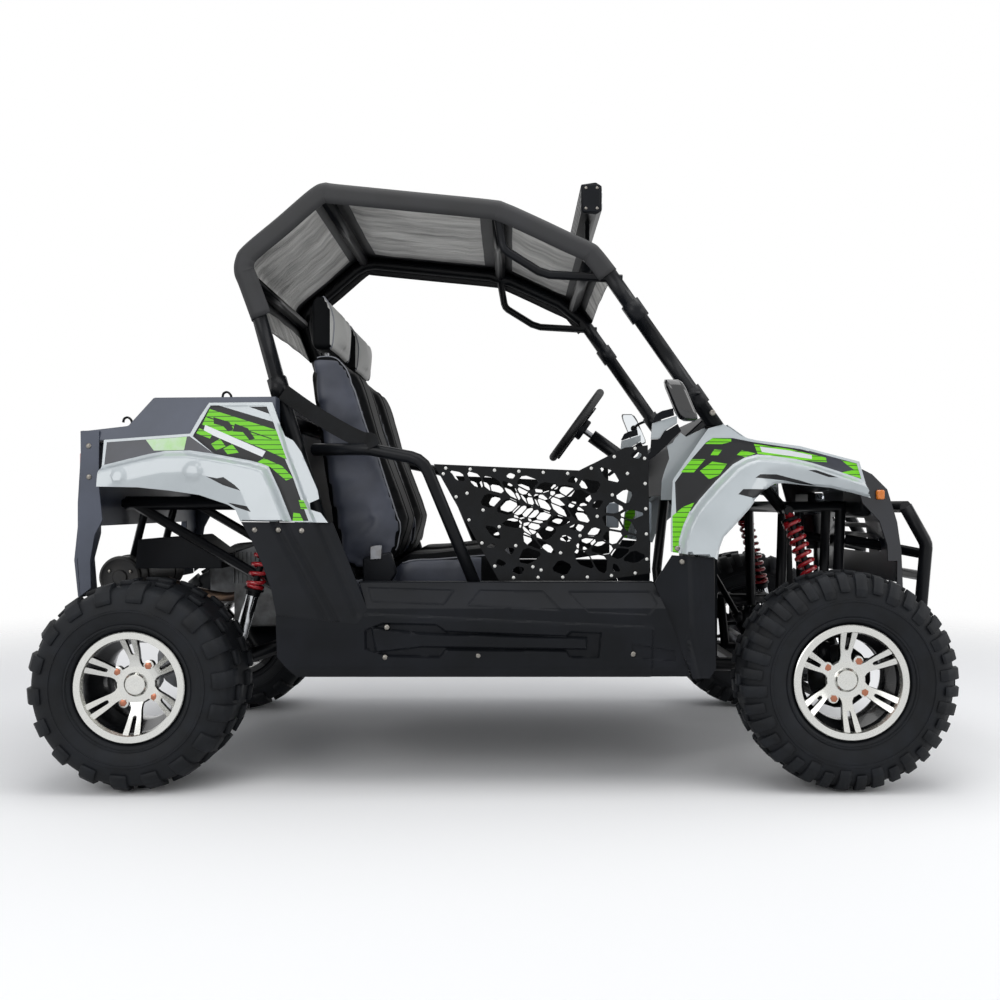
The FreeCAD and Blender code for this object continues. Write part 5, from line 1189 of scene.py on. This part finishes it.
net = panel(net_line, lean, [(webbing, whole)], wave, 0.0028, 0.012, holes)
marks = []
for band in [beside(net_line + net_line[:1], 0.009)] + bands[1:]:
    for a, b in zip(band, band[1:]):
        count = max(1, round(math.dist(a, b) / 0.062))
        for k in range(count):
            t = (k + 0.5) / count
            x, z = a[0] + (b[0] - a[0]) * t, a[1] + (b[1] - a[1]) * t
            if inside((x, z), net_line):
                marks.append((x, lean(x, z) - wave(x, z) - 0.0004, z))
on_both_sides("side_net", [net, domes(marks, (0.0042, 0.0016, 0.0042), rivet_white)], "side_nets")


# Seat belts: a strap of wide nylon webbing from the rear pillar down to the hip bar, and a plastic
# reel case bolted beside the squab.
def strap(points, wide, half, coat, thick=0.0022):
    """A flat strap along points, its width lying along a given vector."""
    line = smooth_line(points)
    wide = Vector(wide).normalized()
    shape = bmesh.new()
    rows = []
    for i, spot in enumerate(line):
        along = (line[min(i + 1, len(line) - 1)] - line[max(i - 1, 0)]).normalized()
        side = (wide - along * wide.dot(along)).normalized()
        out = along.cross(side) * thick / 2
        side *= half
        section = [spot + side * s + out * t for s, t in ((-1, -1), (1, -1), (1, 1), (-1, 1))]
        rows.append([shape.verts.new(p) for p in section])
    for a, b in zip(rows, rows[1:]):
        for k in range(4):
            shape.faces.new((a[k], a[(k + 1) % 4], b[(k + 1) % 4], b[k]))
    shape.faces.new(rows[0][::-1])
    shape.faces.new(rows[-1])
    bmesh.ops.recalc_face_normals(shape, faces=shape.faces)
    return mesh_of(shape, coat)


def plate(outline, y, thick, coat, bevel=0.0):
    """A plate of an outline in side view, from a Y towards the middle by its thickness."""
    return solid_of([(x, y, z) for x, z in outline], (0, thick, 0), bevel, coat)


belt_run = [
    (-0.575, -0.425, 0.985), (-0.500, -0.425, 0.932), (-0.420, -0.440, 0.885), (-0.368, -0.462, 0.8600),
    (-0.345, -0.480, 0.8565), (-0.338, -0.490, 0.838),
]
belt = strap(belt_run, (0.45, 0, 0.89), 0.021, webbing)
reel = plate(mm(-372, 560, -300, 575, -284, 520, -310, 478, -372, 482), -0.424, 0.030, black_plastic, 0.005)
tongue = plate(mm(-352, 590, -322, 592, -322, 556, -352, 554), -0.428, 0.010, bare_steel, 0.002)
on_both_sides("seat_belt", [belt, reel, tongue])


# Shock absorbers: a red coil over a chromed damper at each corner, eyes pinned to the arm below and
# the frame above. The coils are round spring wire, the lower tubes are bright.
spring_red = material(
    "red_spring_enamel", "#B01A25", 0.30, 0.0, (0.003, 0.00004), ("#8A121B", 0.02), Coat_Weight=0.4
)
chrome = material("chromed_damper_tube", "#CBCDD0", 0.14, 1.0, (0.004, 0.00002), ("#8E8F90", 0.02, 0.5, 0.8))


def turned(profile, start, direction, coat, steps=24):
    """A body turned about an axis, its profile given as (distance along, radius) from a start point."""
    lay = Vector((0, 1, 0)).rotation_difference(Vector(direction).normalized())
    mesh = lathe(profile, steps, coat)
    mesh.transform(Matrix.Translation(start) @ lay.to_matrix().to_4x4())
    return outward(mesh, 1e-5)


def coil(start, end, radius, wire, turns, coat):
    """A round helix with its two end coils closed flat."""
    length = (end - start).length
    axis = (end - start).normalized()
    u = axis.orthogonal().normalized()
    v = axis.cross(u)
    count = int(turns * 22)
    line = []
    for k in range(count + 1):
        t = k / count
        rise = min(max((t * turns - 0.75) / (turns - 1.5), 0), 1)
        a = math.tau * turns * t
        level = start + axis * (wire + rise * (length - 2 * wire))
        line.append(level + (u * math.cos(a) + v * math.sin(a)) * radius)
    return sweep(line, wire, coat)


# The top ring holds the coil 30 mm below the eye, and the low ring sits at its share of the length.
eye_half, seat_top = 0.013, 0.030
for name, top, low, share, turns, clevis_coat in (
    ("front", Vector((0.765, -0.262, 0.680)), Vector((0.896, -0.345, 0.234)), 0.54, 11.0, spring_red),
    ("rear", Vector((-0.613, -0.318, 0.700)), Vector((-0.721, -0.318, 0.313)), 0.60, 9.0, frame_coat),
):
    axis = (low - top).normalized()
    length = (low - top).length
    seat = seat_top + share * (length - 0.060)
    helix = coil(top + axis * seat_top, top + axis * seat, 0.0205, 0.0054, turns, spring_red)
    rod = [(0.010, 0.0), (0.010, 0.0085), (seat, 0.0085), (seat, 0.0)]
    lower = [
        (seat + 0.006, 0.0), (seat + 0.006, 0.0165), (seat + 0.012, 0.0172), (length - 0.030, 0.0172),
        (length - 0.024, 0.015), (length - 0.012, 0.012), (length - 0.008, 0.0),
    ]
    ring_low = mm(0, 0, 0, 24, 1.5, 26.2, 6, 26.2, 7.5, 20, 20, 19, 20, 0)
    ring_top = mm(21, 0, 21, 18, 24, 25.5, 30, 26.2, 30, 0)
    clevis = mm(4, 0, 4, 11.5, 18, 12.5, 22, 16, 22, 0)
    parts = [
        turned(rod, top, axis, frame_coat),
        turned(lower, top, axis, chrome),
        turned([(seat + y, r) for y, r in ring_low], top, axis, frame_coat),
        turned(ring_top, top, axis, frame_coat),
        turned(clevis, top, axis, clevis_coat),
    ]
    eye = [(-eye_half, 0.0), (-eye_half, 0.0115), (-eye_half + 0.0015, 0.013)]
    eye += [(-y, r) for y, r in reversed(eye)]
    parts += [turned(eye, end, (0, 1, 0), frame_coat, 20) for end in (top, low)]
    on_both_sides(name + "_coil", [helix], "shock_springs", 60)
    on_both_sides(name + "_damper", parts, "shock_dampers")


# Headlamps, amber markers and tail lamps: clear or coloured plastic lenses over bright reflectors, each
# pressed into its black housing.
def lens_of(name, colour, roughness, pattern, scale, depth, strength, band=(), **more):
    """A lamp lens with a pattern of flutes or prisms pressed into it."""
    made, tree, shader = surface(name, colour, roughness, **more)
    spot = add(tree, "ShaderNodeTexCoord").outputs["Object"]
    flutes = add(tree, "ShaderNodeTex" + pattern, {"Vector": spot, "Scale": scale}, **dict(band))
    pressed(shader, flutes.outputs["Fac"], depth, strength)
    return made


clear_lens = lens_of(
    "clear_lamp_lens", "#DDE3E8", 0.06, "Wave", 40.0, 0.0006, 0.4, {"bands_direction": "Y"},
    Transmission_Weight=0.75, IOR=1.45,
)
amber_lens = lens_of("amber_lamp_lens", "#D9760F", 0.12, "Checker", 260.0, 0.0005, 0.5, Coat_Weight=0.6)
red_lens = lens_of("red_lamp_lens", "#A30D10", 0.12, "Checker", 260.0, 0.0005, 0.5, Coat_Weight=0.6)
reflector = material("bright_reflector", "#E6E8EA", 0.12, 1.0)


def box(low, high, coat, bevel=0.003):
    """A box between two corners with its edges taken off."""
    (x0, y0, z0), (x1, y1, z1) = low, high
    return plate([(x0, z0), (x1, z0), (x1, z1), (x0, z1)], y0, y1 - y0, coat, bevel)


bowl = mm(0, 0, 0, 8, 10, 24, 20, 30, 21, 30, 21, 32, 0, 32, -2, 0)
glass = mm(975, 667, 1008, 667, 1012, 680, 1006, 724, 999, 733, 975, 733)
headlamp = [
    box((0.949, -0.309, 0.665), (0.976, -0.161, 0.735), black_plastic, 0.006),
    plate(glass, -0.307, 0.144, clear_lens, 0.005),
    turned(bowl, (0.982, -0.268, 0.700), (1, 0, 0), reflector),
    turned(bowl, (0.982, -0.202, 0.700), (1, 0, 0), reflector),
]
on_both_sides("headlamp", headlamp, "lamps")
on_both_sides("side_marker", [box((0.969, -0.3685, 0.7095), (0.991, -0.3595, 0.7345), amber_lens)], "lamps")
on_both_sides("tail_lamp", [box((-1.109, -0.400, 0.783), (-1.0845, -0.300, 0.832), red_lens, 0.004)], "lamps")


# Light bar: a finned black aluminium case across the front of the roof, two rows of small lamps
# behind one clear window, and a folded bracket at each end.
gloss_black = material("gloss_black_shell", "#101113", 0.12, peel=(0.03, 0.0004), Coat_Weight=0.8)
moulded_copy("light_bar", "light_bar_case", frame_coat, 0.0012)
lamp_pitch, cells = 0.0318, (0.0035, 0.0115, 0.0115)
rows = [(0.2558, -0.270 + lamp_pitch * k, z) for k in range(18) for z in (1.509, 1.539)]
window = [box((0.2515, -0.283, 1.494), (0.2560, 0.283, 1.554), gloss_black, 0.0015)]
window.append(domes(rows, cells, reflector))
for y in (-0.2895, 0.2895):
    window.append(box((0.203, y - 0.0035, 1.486), (0.250, y + 0.0035, 1.561), black_plastic, 0.002))
finish("light_bar_window", joined(window), "chassis")
heads = [(x, y, z) for y in (-0.2934, 0.2934) for x in (0.212, 0.242) for z in (1.496, 1.551)]
finish("light_bar_screws", domes(heads, (0.004, 0.0016, 0.004), zinc), "chassis")


# Mirrors: a gloss black shell with the glass on its inner side, on a bent steel stem that is
# clamped to the windscreen leg. The shell leans back with the leg and is slim from the side.
mirror_glass = material("mirror_glass", "#E9EDF0", 0.03, 1.0, (0.05, 0.0002))
shell_line = mm(
    403, 924, 408, 912, 420, 906, 452, 905, 464, 910, 468, 920, 468, 990, 464, 1004, 454, 1011, 414, 1011,
    407, 1004, 404, 990,
)
centre_x, centre_z = 0.436, 0.958
leg_lean, slim = 0.42, 0.80
shell_line = [((x - centre_x) * slim - (z - centre_z) * leg_lean, z - centre_z) for x, z in shell_line]


def mirror_ring(wide, high):
    """The shell's outline drawn in round its middle."""
    return [(centre_x + x * wide, centre_z + z * high) for x, z in shell_line]


shape = bmesh.new()
loops = []
for y, scale in mm(-466, 970, -472, 1000, -484, 970, -493, 860, -499, 600, -500, 250):
    loops.append([shape.verts.new((x, y, z)) for x, z in mirror_ring(scale, scale)])
for a, b in zip(loops, loops[1:]):
    for k in range(len(a)):
        shape.faces.new((a[k], a[(k + 1) % len(a)], b[(k + 1) % len(a)], b[k]))
shape.faces.new(loops[0])
shape.faces.new(loops[-1])
bmesh.ops.recalc_face_normals(shape, faces=shape.faces)
stem = [(0.435, -0.466, 0.960), (0.452, -0.440, 0.974), (0.478, -0.425, 0.983), (0.496, -0.404, 0.985)]
mirror = [
    mesh_of(shape, gloss_black),
    plate(mirror_ring(0.90, 0.92), -0.4665, 0.0025, mirror_glass),
    sweep(smooth_line(stem, 5), 0.0045, frame_coat),
    domes([(0.436, -0.462, 0.960)], (0.011, 0.008, 0.011), frame_coat),
]
on_both_sides("mirror", mirror, "mirrors", 50)


# Steering wheel: a foam-covered steel ring on three pressed spokes, with a padded boss, on the shaft
# that turns inside the column.
grip = material("black_foam_grip", "#101113", 0.6, peel=(0.0022, 0.0003), cells=True)
rake = math.radians(36)
down = Vector((math.cos(rake), 0, -math.sin(rake)))
lay = Matrix((Vector((0, -1, 0)), down, Vector((math.sin(rake), 0, math.cos(rake))))).transposed()
hub = Vector((0.221, 0.220, 0.952))
ring_r, grip_r = 0.127, 0.013
angles = [math.tau * k / 14 for k in range(14)]
boss = mm(6, 0, 6, 26, 11, 34, 30, 36, 34, 33, 34, 0)
parts = [
    lathe([(grip_r * math.cos(a), ring_r + grip_r * math.sin(a)) for a in angles], 64, grip),
    turned(boss, (0, 0, 0), (0, 1, 0), black_plastic, 36),
]
spoke = mm(-13, 30, -9, 122, 9, 122, 13, 30)
slot = [(x * 0.45, 0.045 + (r - 0.030) * 0.62) for x, r in spoke]
for angle in (180, 300, 420):
    for piece in (plate(spoke, 0.0135, 0.0055, frame_coat, 0.0012), plate(slot, 0.0128, 0.0012, grip)):
        piece.transform(Matrix.Rotation(math.radians(angle), 4, "Y"))
        parts.append(piece)
parts.append(turned(mm(18, 0, 18, 9, 330, 9, 330, 0), (0, 0, 0), (0, 1, 0), bare_steel, 20))
whole = joined(parts)
whole.transform(Matrix.Translation(hub) @ lay.to_4x4())
finish("steering_wheel_and_shaft", outward(whole), "steering_wheel", "steering_wheel", 35)


# Exhaust: a round steel silencer across the tail, its ends rolled over, in matt heat paint, and a
# browned head pipe forward to the engine.
heat_paint = material("matt_heat_paint", "#111112", 0.55, 0.2, (0.002, 0.0002), ("#26221F", 0.06, 0.45, 0.8))
pipe_steel = material("heat_browned_steel", "#75604E", 0.42, 1.0, (0.003, 0.0001), ("#48444A", 0.03))
can = mm(
    -190, 0, -190, 18, -186, 22, -186, 46, -190, 52, -187, 58, -180, 60, -172, 58, 172, 58, 180, 60,
    187, 58, 190, 52, 186, 46, 186, 0,
)
can_x, can_z, bolt_r = -1.088, 0.492, 0.034
run = [(-1.058, 0.060, 0.472), (-0.969, 0.040, 0.440), (-0.849, 0.004, 0.420), (-0.790, 0.0, 0.430)]
bolts = [(can_x + bolt_r * math.cos(a), -0.187, can_z + bolt_r * math.sin(a)) for a in (0.5, 2.6, 4.7)]
parts = [
    turned(can, (can_x, 0, can_z), (0, 1, 0), heat_paint, 56),
    sweep(smooth_line(run, 8), 0.014, pipe_steel, 3),
    domes(bolts, (0.005, 0.003, 0.005), zinc),
]
for y in (-0.120, 0.104):
    band = [(y, 0.0), (y, 0.0605), (y + 0.016, 0.0605), (y + 0.016, 0.0)]
    parts.append(turned(band, (can_x, 0, can_z), (0, 1, 0), heat_paint, 56))
finish("silencer_and_pipe", joined(parts), "chassis", "exhaust", 45)


# Engine: a cast aluminium crankcase and belt case, bare metal dulled by heat, with cooling fins on
# its head and a round cover on the belt side.
cast_alloy = material("cast_engine_alloy", "#7C7E80", 0.5, 0.9, (0.0022, 0.0003), ("#4A4947", 0.04))
moulded_copy("engine", "crankcase_and_belt_case", cast_alloy, 0.004)
parts = [
    box((x, -0.112, 0.470), (x + 0.003, -0.070, 0.560), cast_alloy, 0.0008)
    for x in (-0.790 + 0.012 * k for k in range(8))
]
cover = mm(0, 0, 0, 70, 4, 74, 6, 66, 7, 30, 5, 0)
cover_x, cover_z, bolt_r = -0.730, 0.487, 0.062
angles = [math.tau * k / 6 for k in range(6)]
bolts = [(cover_x + bolt_r * math.cos(a), 0.195, cover_z + bolt_r * math.sin(a)) for a in angles]
parts.append(turned(cover, (cover_x, 0.189, cover_z), (0, 1, 0), cast_alloy, 40))
parts.append(domes(bolts, (0.0045, 0.003, 0.0045), zinc))
finish("engine_fins_and_cover", joined(parts), "chassis")


# Pedals and gear lever: pressed steel pads with rubber tops on the toe board, and the lever with its
# rubber boot between the seats.
moulded_copy("pedals_and_lever", "pedals_and_gear_lever", rubber, 0.0015)
parts = []
for y in (0.140, 0.245):
    for z in (0.408 + 0.011 * k for k in range(5)):
        parts.append(box((0.4925, y - 0.023, z), (0.4955, y + 0.023, z + 0.005), rubber, 0.0008))
knob = mm(0, 0, 0, 12, 10, 17.8, 28, 18.2, 42, 14, 46, 0)
parts.append(turned(knob, (0.0255, 0, 0.549), (-0.24, 0, 0.97), gloss_black))
finish("pedal_treads_and_knob", joined(parts), "chassis")


# Tail fittings: the tail panel's folded side flange with its screws, and the black wire hooks on the
# box lid that a load is lashed to.
flange_line = mm(
    -1083, 883, -1036, 885, -1036, 745, -1027, 657, -1047, 619, -1058, 555, -1056, 484, -1083, 464,
    -1090, 555, -1088, 657, -1082, 741,
)
bolts = domes([(-1.062, -0.454, 0.845), (-1.061, -0.454, 0.766)], (0.007, 0.0032, 0.007), zinc)
on_both_sides("tail_flange", [plate(flange_line, -0.4535, 0.003, bleached_slate, 0.0008), bolts])
hooks = []
for x, z in mm(-988, 902, -729, 968):
    bend = mm(10, -4, 9, 12, 0, 21, -10, 18, -13, 8)
    hooks.append(sweep(smooth_line([(x + dx, -0.385, z + dz) for dx, dz in bend], 5), 0.0032, frame_coat))
on_both_sides("lashing_hooks", hooks)


# Cowl and dash fittings: the hood's body-colour facets beside the windscreen leg, the black strut and
# bracket between them, the pale relay box on the firewall's end, and the bolt of the leg's foot.
upper_facet = mm(381, 910, 446, 930, 446, 910, 412, 888, 401, 869, 377, 868)
wing_facet = mm(
    418, 850, 435, 859, 441, 871, 455, 885, 470, 874, 530, 904, 545, 898, 480, 800, 452, 758, 448, 708,
    403, 708, 406, 758, 414, 787, 426, 818, 422, 839,
)
strut = mm(
    447, 908, 456, 889, 433, 868, 417, 850, 388, 824, 341, 791, 333, 797, 375, 834, 377, 867,
    401, 868, 413, 887,
)
bracket = mm(380, 913, 391, 934, 406, 942, 435, 949, 438, 930, 412, 922, 385, 912)
cowl = [
    plate(line, y, 0.004, coat, 0.0008)
    for y, line, coat in (
        (-0.3635, upper_facet, body_white),
        (-0.3640, wing_facet, body_white),
        (-0.3690, strut, black_plastic),
        (-0.3680, bracket, black_plastic),
    )
]
on_both_sides("cowl_corner", cowl)
pale_case = material("pale_grey_relay_box", "#8F979F", 0.5, peel=(0.002, 0.0001))
relay = box((0.334, -0.400, 0.618), (0.374, -0.372, 0.703), pale_case, 0.004)
bolts = domes([(0.530, -0.409, 0.933), (0.354, -0.4005, 0.694)], (0.008, 0.004, 0.008), zinc)
on_both_sides("relay_box", [relay, bolts])
